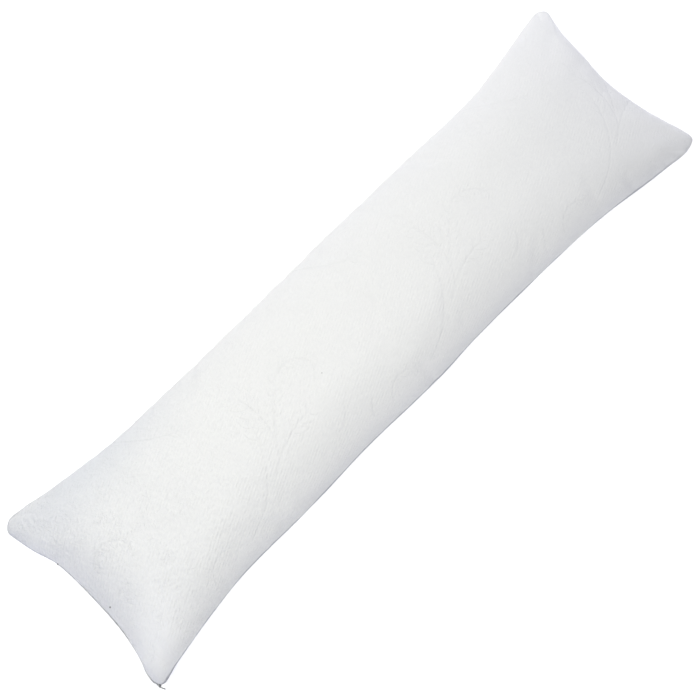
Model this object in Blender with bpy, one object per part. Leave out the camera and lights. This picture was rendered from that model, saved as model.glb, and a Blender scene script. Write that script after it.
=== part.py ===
"""Body pillow: a long filled cushion on its back, with a zip in one end seam.

The cover is two equal panels, sewn round their edge. Filling them draws the long
sides in between four ears and raises a crown, and the pillow's own weight presses a
flat strip along its belly. +X runs along the pillow from the zipped end, +Y to its
left, and +Z up from the surface that it lies on.
"""
from math import cos, pi, radians, sin
from typing import NamedTuple

import bmesh
import bpy
from mathutils import Vector

# Driving dimensions in metres: the filled pillow
SEAM_HEIGHT = 0.074       # of the seam between the panels, above the surface
CROWN_ABOVE_SEAM = 0.090  # where the pillow is thickest
BELLY_BELOW_SEAM = 0.088  # as it would hang free, before the surface flattens it
BELLY_EASE = 0.010        # height over which the belly curves into its flat strip
EAR_DROOP = 0.010         # the ears' tips hang this far below the rest of the seam
PUCKER_LIMIT = 0.3        # largest share of the crown that a pucker takes away
PUCKER_SKEW = 0.7         # below 1, a pucker is deepest nearer its start

# Shape of the crown: larger powers keep it full nearer the seams
LENGTHWISE_POWER = 5.5
CROSSWISE_POWER = 2.2
SEAM_POWER = 0.54         # 0.5 meets the seam upright, more leaves a crease
EAR_THINNING = 0.55       # share of the thickness that an ear's tip lacks
EAR_POWER_ALONG = 8       # larger powers keep the ears' droop and thinning
EAR_POWER_ACROSS = 4      # nearer to their tips

# Grid of each panel
CELLS_ALONG = 72
CELLS_ACROSS = 32
END_CROWDING = 0.75       # 0 spaces the rows evenly, 1 packs them at the seams

# Zip
ZIP_STARTS_AT = 0.082     # distance to the left of the middle of the end seam
CHAIN_HEIGHT = 0.0044
CHAIN_DEPTH = 0.0016
CHAIN_BEVEL = 0.0004
SLIDER_LENGTH = 0.0105
SLIDER_NOSE = 0.0072      # width at its wide end
SLIDER_TAIL = 0.0052      # width at its narrow end
SLIDER_DEPTH = 0.0040
CROWN_LENGTH = 0.0056      # the slider's bridge, which holds the pull
CROWN_WIDTH = 0.0024
CROWN_DEPTH = 0.0022
PULL_LENGTH = 0.0105
PULL_WIDTH = 0.0042
PULL_THICKNESS = 0.0012
PULL_HEADING = -73.0      # degrees from +X, seen from above
PULL_DIP = 12.0           # degrees below level
PULL_ROUND_STEPS = 8
CLEARANCE = 0.0003        # between neighbouring pieces


class Ear(NamedTuple):
    """Where an end seam and a long seam would meet, and the radius between them."""

    x: float
    y: float
    radius: float


class SideRow(NamedTuple):
    """How far the long seams lie from the middle line at one place along it."""

    x: float
    left: float
    right: float


class EndRow(NamedTuple):
    """How far the end seams lie from the middle at one distance to the left."""

    y: float
    near: float
    far: float


class Pucker(NamedTuple):
    """A soft trough in both panels, from a point of the cover towards a heading.

    The heading is in degrees from +X, the width is to half of the depth.
    """

    x: float
    y: float
    heading: float
    length: float
    width: float
    depth: float


NEAR_LEFT = Ear(x=-0.7020, y=0.2030, radius=0.022)
NEAR_RIGHT = Ear(x=-0.6935, y=-0.1972, radius=0.018)
FAR_LEFT = Ear(x=0.7042, y=0.2058, radius=0.017)
FAR_RIGHT = Ear(x=0.7048, y=-0.1924, radius=0.018)

SIDE_ROWS = (
    SideRow(x=-0.660, left=0.1965, right=0.1912),
    SideRow(x=-0.600, left=0.1884, right=0.1808),
    SideRow(x=-0.530, left=0.1770, right=0.1703),
    SideRow(x=-0.450, left=0.1674, right=0.1632),
    SideRow(x=-0.300, left=0.1664, right=0.1638),
    SideRow(x=-0.150, left=0.1656, right=0.1601),
    SideRow(x=0.030, left=0.1670, right=0.1644),
    SideRow(x=0.130, left=0.1668, right=0.1604),
    SideRow(x=0.280, left=0.1652, right=0.1614),
    SideRow(x=0.450, left=0.1650, right=0.1676),
    SideRow(x=0.530, left=0.1758, right=0.1759),
    SideRow(x=0.600, left=0.1887, right=0.1862),
    SideRow(x=0.660, left=0.1988, right=0.1915),
)

END_ROWS = (
    EndRow(y=-0.165, near=0.6912, far=0.7012),
    EndRow(y=-0.130, near=0.6816, far=0.6905),
    EndRow(y=-0.080, near=0.6722, far=0.6762),
    EndRow(y=0.000, near=0.6697, far=0.6660),
    EndRow(y=0.080, near=0.6740, far=0.6752),
    EndRow(y=0.130, near=0.6893, far=0.6835),
    EndRow(y=0.165, near=0.6962, far=0.6934),
)

PUCKERS = (
    Pucker(x=-0.668, y=0.105, heading=8.0, length=0.075, width=0.009, depth=0.0030),
    Pucker(x=-0.670, y=0.070, heading=-12.0, length=0.060, width=0.008, depth=0.0025),
    Pucker(x=-0.676, y=0.150, heading=-28.0, length=0.090, width=0.011, depth=0.0035),
    Pucker(x=-0.668, y=0.175, heading=-62.0, length=0.060, width=0.009, depth=0.0025),
    Pucker(x=-0.668, y=0.010, heading=20.0, length=0.055, width=0.009, depth=0.0025),
    Pucker(x=-0.668, y=-0.070, heading=14.0, length=0.065, width=0.010, depth=0.0030),
    Pucker(x=-0.675, y=-0.150, heading=30.0, length=0.090, width=0.010, depth=0.0035),
    Pucker(x=-0.660, y=-0.178, heading=58.0, length=0.055, width=0.008, depth=0.0030),
    Pucker(x=0.672, y=0.150, heading=208.0, length=0.085, width=0.010, depth=0.0030),
    Pucker(x=0.660, y=0.060, heading=186.0, length=0.060, width=0.010, depth=0.0025),
    Pucker(x=0.660, y=-0.060, heading=170.0, length=0.070, width=0.011, depth=0.0025),
    Pucker(x=0.676, y=-0.150, heading=146.0, length=0.085, width=0.010, depth=0.0035),
    Pucker(x=0.668, y=-0.172, heading=118.0, length=0.050, width=0.008, depth=0.0025),
)


def smooth_through(rows: list, value: float) -> float:
    """Read a smooth curve (Catmull-Rom) through (place, height) rows."""
    last = len(rows) - 2
    index = min(max(sum(place <= value for place, _ in rows) - 1, 0), last)
    (x1, y1), (x2, y2) = rows[index], rows[index + 1]
    x0, y0 = rows[max(index - 1, 0)]
    x3, y3 = rows[min(index + 2, last + 1)]
    step = x2 - x1
    slope1 = (y2 - y0) / (x2 - x0) * step
    slope2 = (y3 - y1) / (x3 - x1) * step
    t = (value - x1) / step
    return (y1 * (2 * t**3 - 3 * t**2 + 1) + slope1 * (t**3 - 2 * t**2 + t)
            + y2 * (3 * t**2 - 2 * t**3) + slope2 * (t**3 - t**2))


def round_off(distance: float, radius: float) -> tuple:
    """Bend the last stretch of a seam onto half of its ear's round.

    Args:
        distance: how far the point is from the ear's corner along its own seam.
        radius: of the ear.
    Returns:
        The point's distance from the corner along the seam, and off it inwards.
    """
    if distance >= radius:
        return distance, 0.0
    angle = pi / 4 * (1 - distance / radius)
    return radius * (1 - sin(angle)), radius * (1 - cos(angle))


def seam_point(across: bool, first: Ear, last: Ear, rows: list, share: float) -> tuple:
    """Point of one seam, at a share of the way from its first ear to its last.

    Args:
        across: True for an end seam, which runs along Y, and False for a long one.
        first: ear where share is 0.
        last: ear where share is 1.
        rows: (place along the seam, place across it) between the ears.
        share: from 0 to 1.
    Returns:
        The point's x and y.
    """
    along = 1 if across else 0
    start, end = first[along], last[along]
    corners = [(start, first[1 - along])], [(end, last[1 - along])]
    place = start + (end - start) * share
    near_first = share < 0.5
    ear = first if near_first else last
    corner = start if near_first else end
    kept, inset = round_off(abs(place - corner), ear.radius)
    place = corner + (kept if near_first else -kept)
    offset = smooth_through(corners[0] + rows + corners[1], place)
    offset -= inset if offset > 0 else -inset
    return (offset, place) if across else (place, offset)


def left_seam(share: float) -> tuple:
    rows = [(row.x, row.left) for row in SIDE_ROWS]
    return seam_point(False, NEAR_LEFT, FAR_LEFT, rows, share)


def right_seam(share: float) -> tuple:
    rows = [(row.x, -row.right) for row in SIDE_ROWS]
    return seam_point(False, NEAR_RIGHT, FAR_RIGHT, rows, share)


def near_seam(share: float) -> tuple:
    rows = [(row.y, -row.near) for row in END_ROWS]
    return seam_point(True, NEAR_RIGHT, NEAR_LEFT, rows, share)


def far_seam(share: float) -> tuple:
    rows = [(row.y, row.far) for row in END_ROWS]
    return seam_point(True, FAR_RIGHT, FAR_LEFT, rows, share)


def plan(a: float, b: float) -> tuple:
    """Blend the four seams into a point of the panel, seen from above.

    Args:
        a: share of the way from the near end to the far end.
        b: share of the way from the right side to the left side.
    Returns:
        The point's x and y.
    """
    sides = zip(left_seam(a), right_seam(a), near_seam(b), far_seam(b))
    corners = zip(near_seam(0), far_seam(0), near_seam(1), far_seam(1))
    return tuple(
        b * left + (1 - b) * right + (1 - a) * near + a * far
        - (1 - a) * (1 - b) * p - a * (1 - b) * q - (1 - a) * b * r - a * b * s
        for (left, right, near, far), (p, q, r, s) in zip(sides, corners))


def ear_share(u: float, v: float) -> float:
    """1 at the ears' tips, falling to 0 towards the middle of the panel."""
    return abs(u) ** EAR_POWER_ALONG * abs(v) ** EAR_POWER_ACROSS


def fullness(u: float, v: float) -> float:
    """Share of the full crown at a place from -1 to 1 along and across the panel."""
    lengthwise = max(1 - abs(u) ** LENGTHWISE_POWER, 0.0) ** SEAM_POWER
    crosswise = max(1 - abs(v) ** CROSSWISE_POWER, 0.0) ** SEAM_POWER
    return lengthwise * crosswise * (1 - EAR_THINNING * ear_share(u, v))


def pucker_depth(x: float, y: float) -> float:
    """How deep the puckers are at a place, seen from above."""
    total = 0.0
    for fold in PUCKERS:
        heading = radians(fold.heading)
        along = (x - fold.x) * cos(heading) + (y - fold.y) * sin(heading)
        aside = (y - fold.y) * cos(heading) - (x - fold.x) * sin(heading)
        share = along / fold.length
        if 0 < share < 1:
            deepness = sin(pi * share**PUCKER_SKEW)
            total += fold.depth * deepness * 0.5 ** ((aside / fold.width) ** 2)
    return total


def crowd(share: float) -> float:
    """Turn an even share of a row into a place from -1 to 1, closer at its ends."""
    even = 2 * share - 1
    return (1 - END_CROWDING) * even + END_CROWDING * sin(pi / 2 * even)


def ease_onto_surface(height: float) -> float:
    """Hold a height at or above the surface, with a soft turn into the flat strip."""
    if height <= -BELLY_EASE:
        return 0.0
    if height >= BELLY_EASE:
        return height
    return (height + BELLY_EASE) ** 2 / (4 * BELLY_EASE)


def cover_point(i: int, j: int, side: int) -> tuple:
    """Point of the cover at a grid row and column.

    Args:
        i: row along the pillow, from the near end.
        j: column across it, from the right side.
        side: 1 for the upper panel and -1 for the lower.
    Returns:
        The point's x, y and z.
    """
    u, v = crowd(i / CELLS_ALONG), crowd(j / CELLS_ACROSS)
    x, y = plan((u + 1) / 2, (v + 1) / 2)
    seam = SEAM_HEIGHT - EAR_DROOP * ear_share(u, v)
    full = fullness(u, v)
    dent = min(pucker_depth(x, y), PUCKER_LIMIT * full * CROWN_ABOVE_SEAM)
    if side > 0:
        return x, y, seam + full * CROWN_ABOVE_SEAM - dent
    return x, y, ease_onto_surface(seam - full * BELLY_BELOW_SEAM + dent)


def on_seam(i: int, j: int) -> bool:
    """Whether a grid point lies on the seam that both panels share."""
    return i in (0, CELLS_ALONG) or j in (0, CELLS_ACROSS)


def finish(name: str, colour: tuple, roughness: float, metallic: float) -> bpy.types.Material:
    """Make a plain Principled material for one piece."""
    material = bpy.data.materials.new(name)
    material.use_nodes = True
    shader = material.node_tree.nodes["Principled BSDF"]
    shader.inputs["Base Color"].default_value = (*colour, 1.0)
    shader.inputs["Roughness"].default_value = roughness
    shader.inputs["Metallic"].default_value = metallic
    return material


def add_object(name: str, shape: bmesh.types.BMesh, material: bpy.types.Material,
               smooth: bool) -> bpy.types.Object:
    """Put a finished bmesh into the scene as a named object."""
    bmesh.ops.recalc_face_normals(shape, faces=shape.faces)
    mesh = bpy.data.meshes.new(name)
    shape.to_mesh(mesh)
    shape.free()
    mesh.materials.append(material)
    if smooth:
        mesh.shade_smooth()
    piece = bpy.data.objects.new(name, mesh)
    bpy.context.collection.objects.link(piece)
    return piece


def build_pillow() -> bpy.types.Object:
    """The filled cover: two panels that share their seam."""
    shape = bmesh.new()
    panels = {}
    for side in (1, -1):
        for i in range(CELLS_ALONG + 1):
            for j in range(CELLS_ACROSS + 1):
                if side < 0 and on_seam(i, j):
                    panels[side, i, j] = panels[1, i, j]
                else:
                    panels[side, i, j] = shape.verts.new(cover_point(i, j, side))
    for side in (1, -1):
        for i in range(CELLS_ALONG):
            for j in range(CELLS_ACROSS):
                shape.faces.new([panels[side, i, j], panels[side, i + 1, j],
                                 panels[side, i + 1, j + 1], panels[side, i, j + 1]])
    white_knit = finish("white_knit", (0.86, 0.86, 0.85), 0.85, 0.0)
    return add_object("pillow", shape, white_knit, smooth=True)


def zip_route() -> list:
    """Seam points that the chain follows, from its stop to where the slider sits."""
    columns = [j for j in range(CELLS_ACROSS + 1) if cover_point(0, j, 1)[1] < ZIP_STARTS_AT]
    route = [Vector(cover_point(0, j, 1)) for j in reversed(columns)]
    reach = SLIDER_LENGTH / 2 + CLEARANCE
    return [point for point in route if (point - route[-1]).length > reach]


def outward(before: Vector, after: Vector) -> Vector:
    """Level direction that points off the pillow, across a stretch of the zip's route."""
    run = after - before
    return Vector((run.y, -run.x, 0)).normalized()


def build_chain(route: list) -> bpy.types.Object:
    """The closed chain: a slim strip just off the end seam, bevelled outside."""
    half = CHAIN_HEIGHT / 2
    outer = CLEARANCE + CHAIN_DEPTH
    profile = ((CLEARANCE, -half), (outer - CHAIN_BEVEL, -half), (outer, CHAIN_BEVEL - half),
               (outer, half - CHAIN_BEVEL), (outer - CHAIN_BEVEL, half), (CLEARANCE, half))
    shape = bmesh.new()
    rings = []
    for index, point in enumerate(route):
        before = route[max(index - 1, 0)]
        after = route[min(index + 1, len(route) - 1)]
        away = outward(before, after)
        rings.append([shape.verts.new(point + away * depth + Vector((0, 0, rise)))
                      for depth, rise in profile])
    for ring, following in zip(rings, rings[1:]):
        for k in range(len(profile)):
            nearby = (k + 1) % len(profile)
            shape.faces.new([ring[k], ring[nearby], following[nearby], following[k]])
    shape.faces.new(rings[0])
    shape.faces.new(rings[-1])
    grey_coil = finish("grey_coil", (0.62, 0.63, 0.65), 0.6, 0.0)
    return add_object("zip_chain", shape, grey_coil, smooth=False)


def add_block(shape: bmesh.types.BMesh, start: Vector, end: Vector, away: Vector,
              widths: tuple, depths: tuple) -> None:
    """Add a closed wedge that stands on edge between two points.

    Args:
        shape: the bmesh that gets the block.
        start: middle of its first end.
        end: middle of its last end.
        away: level direction that its depth is measured along.
        widths: its upright width at the two ends.
        depths: how far its inner and its outer face lie from the points.
    """
    inner, outer = depths
    ends = []
    for middle, width in ((start, widths[0]), (end, widths[1])):
        corners = ((inner, -width / 2), (outer, -width / 2), (outer, width / 2), (inner, width / 2))
        ends.append([shape.verts.new(middle + away * depth + Vector((0, 0, rise)))
                     for depth, rise in corners])
    for k in range(4):
        nearby = (k + 1) % 4
        shape.faces.new([ends[0][k], ends[0][nearby], ends[1][nearby], ends[1][k]])
    shape.faces.new(ends[0])
    shape.faces.new(ends[1])


def build_slider(tip: Vector, run: Vector, away: Vector) -> bpy.types.Object:
    """The slider: a wedge across the ear's tip, with a bridge on its outer face."""
    shape = bmesh.new()
    outer = CLEARANCE + SLIDER_DEPTH
    add_block(shape, tip - run * SLIDER_LENGTH / 2, tip + run * SLIDER_LENGTH / 2, away,
              (SLIDER_TAIL, SLIDER_NOSE), (CLEARANCE, outer))
    bmesh.ops.recalc_face_normals(shape, faces=shape.faces)
    bmesh.ops.bevel(shape, geom=shape.edges[:], offset=SLIDER_DEPTH / 5, segments=2,
                    profile=0.5, affect="EDGES")
    dark_metal = finish("dark_metal", (0.30, 0.31, 0.31), 0.35, 0.9)
    slider = add_object("zip_slider", shape, dark_metal, smooth=False)
    bridge = bmesh.new()
    add_block(bridge, tip - run * CROWN_LENGTH / 2, tip + run * CROWN_LENGTH / 2, away,
              (CROWN_WIDTH, CROWN_WIDTH), (outer - CROWN_DEPTH / 2, outer + CROWN_DEPTH))
    bmesh.ops.recalc_face_normals(bridge, faces=bridge.faces)
    bmesh.ops.bevel(bridge, geom=bridge.edges[:], offset=CROWN_DEPTH / 5, segments=1,
                    profile=0.5, affect="EDGES")
    cutter = add_object("bridge_guide", bridge, dark_metal, smooth=False)
    cutter.hide_render = True
    cutter.display_type = "WIRE"
    join = slider.modifiers.new("bridge", "BOOLEAN")
    join.operation = "UNION"
    join.object = cutter
    return slider


def build_pull(root: Vector) -> bpy.types.Object:
    """The pull: a thin tab on edge, round at its free end."""
    heading, dip = radians(PULL_HEADING), radians(PULL_DIP)
    run = Vector((cos(heading) * cos(dip), sin(heading) * cos(dip), -sin(dip)))
    across = Vector((-sin(heading), cos(heading), 0))
    rise = run.cross(across)
    half = PULL_WIDTH / 2
    centre = PULL_LENGTH - half
    turns = [pi * step / PULL_ROUND_STEPS for step in range(PULL_ROUND_STEPS + 1)]
    outline = [(0.0, -half), (0.0, half)]
    outline += [(centre + half * sin(turn), half * cos(turn)) for turn in turns]
    root = root - across * PULL_THICKNESS / 2
    shape = bmesh.new()
    face = shape.faces.new([shape.verts.new(root + run * along + rise * up) for along, up in outline])
    grown = bmesh.ops.extrude_face_region(shape, geom=[face])
    moved = [item for item in grown["geom"] if isinstance(item, bmesh.types.BMVert)]
    bmesh.ops.translate(shape, verts=moved, vec=across * PULL_THICKNESS)
    dark_metal = finish("dark_metal_pull", (0.33, 0.34, 0.33), 0.35, 0.9)
    return add_object("zip_pull", shape, dark_metal, smooth=False)


def centre_on_origin(pieces: list) -> None:
    """Move every piece alike, so that the whole stands centred on the origin."""
    corners = [vertex.co for piece in pieces for vertex in piece.data.vertices]
    middle = [(min(c[k] for c in corners) + max(c[k] for c in corners)) / 2 for k in (0, 1)]
    for piece in pieces:
        for vertex in piece.data.vertices:
            vertex.co.x -= middle[0]
            vertex.co.y -= middle[1]


def main() -> None:
    """Clear the scene and build the pillow and its zip."""
    for item in list(bpy.data.objects):
        bpy.data.objects.remove(item)
    pillow = build_pillow()
    chain = build_chain(zip_route())
    tip = Vector(cover_point(0, 0, 1))
    before, after = Vector(cover_point(0, 1, 1)), Vector(cover_point(1, 0, 1))
    away = outward(before, after)
    run = Vector((-away.y, away.x, 0))
    slider = build_slider(tip, run, away)
    pull = build_pull(tip + away * (CLEARANCE + SLIDER_DEPTH + CROWN_DEPTH + 2 * CLEARANCE))
    centre_on_origin([pillow, chain, slider, pull, bpy.data.objects["bridge_guide"]])


main()
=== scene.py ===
"""Body pillow: the looks of its filled knit cover, its zip, and the light on them.

Every object is in metres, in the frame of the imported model. +X runs along the pillow
from its zipped end, +Y to its left, and +Z up from the surface that it lies on.
"""
import logging
import math
from dataclasses import dataclass, field
from enum import Enum
from typing import Callable, NamedTuple, Union

import bmesh
import bpy
import numpy as np
from mathutils import Matrix, Vector


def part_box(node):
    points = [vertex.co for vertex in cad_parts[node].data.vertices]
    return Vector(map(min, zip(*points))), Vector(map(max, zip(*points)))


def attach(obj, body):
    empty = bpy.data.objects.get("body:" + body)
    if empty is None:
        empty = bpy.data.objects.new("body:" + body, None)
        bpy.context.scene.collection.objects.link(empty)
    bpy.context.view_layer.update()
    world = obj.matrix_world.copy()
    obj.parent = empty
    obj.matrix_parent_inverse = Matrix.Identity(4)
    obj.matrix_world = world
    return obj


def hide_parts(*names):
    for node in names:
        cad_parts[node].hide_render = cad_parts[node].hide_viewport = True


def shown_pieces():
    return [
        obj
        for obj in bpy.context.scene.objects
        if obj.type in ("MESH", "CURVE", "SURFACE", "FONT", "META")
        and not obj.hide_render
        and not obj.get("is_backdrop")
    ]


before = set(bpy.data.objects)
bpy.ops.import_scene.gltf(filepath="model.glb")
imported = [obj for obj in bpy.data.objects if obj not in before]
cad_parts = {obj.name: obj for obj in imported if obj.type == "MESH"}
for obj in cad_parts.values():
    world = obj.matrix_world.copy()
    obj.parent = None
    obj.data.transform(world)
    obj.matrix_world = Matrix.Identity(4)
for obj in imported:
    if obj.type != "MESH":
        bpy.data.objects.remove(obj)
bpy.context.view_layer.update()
MILLIMETRE = 0.001
TINY = 1e-12

log = logging.getLogger("body_pillow")


# --- Tables --------------------------------------------------------------------------

def table(kind: type, *numbers: tuple) -> tuple:
    """Rows of a kind, one for each tuple of numbers, in the order of the kind's fields."""
    return tuple(kind(*row) for row in numbers)


class Ear(NamedTuple):
    """Where an end seam and a long seam would meet, and the radius between them."""

    x: float
    y: float
    radius: float


class SideRow(NamedTuple):
    """How far the long seams lie from the middle line at one place along it."""

    x: float
    left: float
    right: float


class EndRow(NamedTuple):
    """How far the end seams lie from the middle at one distance to the left."""

    y: float
    near: float
    far: float


class Spot(NamedTuple):
    """A soft, long spot of the cover, with a depth, a height or a share as its amount.

    Its place is in metres, in the model, and its heading in degrees from +X.
    """

    x: float
    y: float
    heading: float
    length: float
    width: float
    amount: float

    def measure(self, x: object, y: object) -> tuple:
        """Measure places by the spot, in its own lengths and widths.

        Args:
            x: theirs in the model, as an array or as a value of a material.
            y: theirs, in the same way.
        Returns:
            How far ahead of the spot's point they are, and how far to its left.
        """
        heading = math.radians(self.heading)
        dx, dy = x - self.x, y - self.y
        return ((dx * math.cos(heading) + dy * math.sin(heading)) / self.length,
                (dy * math.cos(heading) - dx * math.sin(heading)) / self.width)


class Tug(NamedTuple):
    """A small pull of the outline at one place, which fades out at its reach."""

    x: float
    y: float
    dx: float
    dy: float
    reach: float


class Wave(NamedTuple):
    """One slow wave of the filling: its turns, its start, and its shift's sense."""

    along: float
    across: float
    start: float
    sense: float


class Panel(Enum):
    """The two panels of the cover, and which way up each looks."""

    UPPER = 1
    LOWER = -1


SIDE_ROWS = table(
    SideRow,
    (-0.660, 0.1965, 0.1912),
    (-0.600, 0.1882, 0.1815),
    (-0.530, 0.1784, 0.1704),
    (-0.450, 0.1690, 0.1630),
    (-0.300, 0.1678, 0.1639),
    (-0.150, 0.1678, 0.1600),
    (0.030, 0.1703, 0.1639),
    (0.130, 0.1702, 0.1602),
    (0.280, 0.1692, 0.1606),
    (0.450, 0.1677, 0.1662),
    (0.530, 0.1777, 0.1767),
    (0.600, 0.1901, 0.1862),
    (0.660, 0.1988, 0.1915),
)

END_ROWS = table(
    EndRow,
    (-0.165, 0.6912, 0.7012),
    (-0.130, 0.6809, 0.6911),
    (-0.080, 0.6726, 0.6764),
    (0.000, 0.6695, 0.6665),
    (0.080, 0.6730, 0.6762),
    (0.130, 0.6881, 0.6841),
    (0.165, 0.6954, 0.6938),
)

# Troughs that run in from a point. The width is to half of the depth.
FOLDS = table(
    Spot,
    (-0.668, 0.105, 8.0, 0.075, 0.009, 0.0030),
    (-0.670, 0.070, -12.0, 0.060, 0.008, 0.0025),
    (-0.676, 0.150, -28.0, 0.090, 0.011, 0.0012),
    (-0.668, 0.175, -62.0, 0.060, 0.009, 0.0010),
    (-0.668, 0.010, 20.0, 0.055, 0.009, 0.0025),
    (-0.668, -0.070, 14.0, 0.065, 0.010, 0.0030),
    (-0.675, -0.150, 30.0, 0.090, 0.010, 0.0035),
    (-0.660, -0.178, 58.0, 0.055, 0.008, 0.0030),
    (0.672, 0.150, 208.0, 0.085, 0.010, 0.0018),
    (0.660, 0.060, 186.0, 0.060, 0.010, 0.0025),
    (0.660, -0.060, 170.0, 0.070, 0.011, 0.0025),
    (0.676, -0.150, 146.0, 0.085, 0.010, 0.0018),
    (0.668, -0.172, 118.0, 0.050, 0.008, 0.0014),
)

# Fuller places of the upper side, and flatter ones where the height is negative. The
# length and the width are to 0.6 of the height.
SWELLS = table(
    Spot,
    (-0.600, -0.010, 85.0, 0.095, 0.032, 0.0060),
    (-0.545, -0.120, 20.0, 0.090, 0.030, 0.0100),
    (-0.655, -0.155, 42.0, 0.055, 0.024, 0.0090),
    (-0.580, 0.000, 120.0, 0.110, 0.045, 0.0040),
    (0.420, 0.070, 0.0, 0.110, 0.045, 0.0050),
    (0.400, -0.145, 0.0, 0.090, 0.030, 0.0050),
    (0.560, -0.100, 150.0, 0.110, 0.045, -0.0040),
)

TUGS = table(
    Tug,
    (-0.702, 0.204, 0.0028, -0.0022, 0.024),
    (-0.680, 0.202, 0.0015, 0.0019, 0.026),
    (-0.655, 0.198, 0.0005, 0.0027, 0.034),
    (-0.630, 0.192, 0.0009, 0.0016, 0.034),
    (-0.692, -0.190, -0.0019, -0.0026, 0.026),
    (-0.672, -0.192, 0.0005, -0.0020, 0.024),
    (-0.694, -0.170, -0.0017, 0.0009, 0.026),
    (0.700, 0.203, -0.0001, -0.0027, 0.022),
    (0.698, 0.184, 0.0021, 0.0018, 0.020),
    (0.676, 0.204, -0.0009, 0.0014, 0.026),
    (0.648, 0.199, -0.0004, 0.0018, 0.040),
    (0.692, -0.194, -0.0006, 0.0024, 0.022),
    (0.700, -0.172, 0.0003, -0.0014, 0.020),
    (0.660, -0.190, -0.0006, -0.0011, 0.036),
)

LUMPS = table(
    Wave,
    (0.9, 0.5, 0.0, 1.0),
    (0.6, -1.1, 1.7, -1.0),
    (1.4, 0.2, 4.0, 1.0),
)


# --- Helpers -------------------------------------------------------------------------

def choose(piece: bpy.types.Object) -> None:
    """Make a piece the active one, and the only one that is selected.

    Args:
        piece: that is chosen.
    """
    bpy.ops.object.select_all(action="DESELECT")
    piece.select_set(True)
    bpy.context.view_layer.objects.active = piece


def settle(piece: bpy.types.Object, *modifiers: bpy.types.Modifier) -> None:
    """Apply a piece's modifiers, in the order given.

    Args:
        piece: that carries them.
        modifiers: that are applied.
    """
    choose(piece)
    for modifier in modifiers:
        bpy.ops.object.modifier_apply(modifier=modifier.name)


def bring_in(name: str, data: bpy.types.ID) -> bpy.types.Object:
    """Put a new object into the scene, made of the given data.

    Args:
        name: of the object.
        data: mesh, curve, camera or light.
    Returns:
        The object.
    """
    made = bpy.data.objects.new(name, data)
    bpy.context.scene.collection.objects.link(made)
    return made


def unit(vectors: np.ndarray) -> np.ndarray:
    """Bring vectors to length one, apart from those of no length."""
    return vectors / np.maximum(np.linalg.norm(vectors, axis=-1, keepdims=True), TINY)


def gaps(points: np.ndarray) -> np.ndarray:
    """Distances from each point of a line to the next."""
    return np.linalg.norm(np.diff(points, axis=0), axis=1)


# --- Shader arithmetic ---------------------------------------------------------------

Number = Union["Value", float]


class Value:
    """A number in a material's node graph, with Python's own arithmetic."""

    def __init__(self, graph: "Graph", socket: bpy.types.NodeSocket) -> None:
        """Wrap one output socket of a graph."""
        self.graph = graph
        self.socket = socket

    def __add__(self, other: Number) -> "Value":
        """Sum of two numbers."""
        return self.graph.math("ADD", self, other)

    def __sub__(self, other: Number) -> "Value":
        """Difference of two numbers."""
        return self.graph.math("SUBTRACT", self, other)

    def __mul__(self, other: Number) -> "Value":
        """Product of two numbers."""
        return self.graph.math("MULTIPLY", self, other)

    def __truediv__(self, other: Number) -> "Value":
        """Quotient of two numbers."""
        return self.graph.math("DIVIDE", self, other)

    def __rsub__(self, other: float) -> "Value":
        """Difference, from a plain number."""
        return self.graph.math("SUBTRACT", other, self)

    def __rtruediv__(self, other: float) -> "Value":
        """Quotient, of a plain number."""
        return self.graph.math("DIVIDE", other, self)

    def __abs__(self) -> "Value":
        """Distance from nought."""
        return self.graph.math("ABSOLUTE", self)

    __radd__ = __add__
    __rmul__ = __mul__


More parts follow.
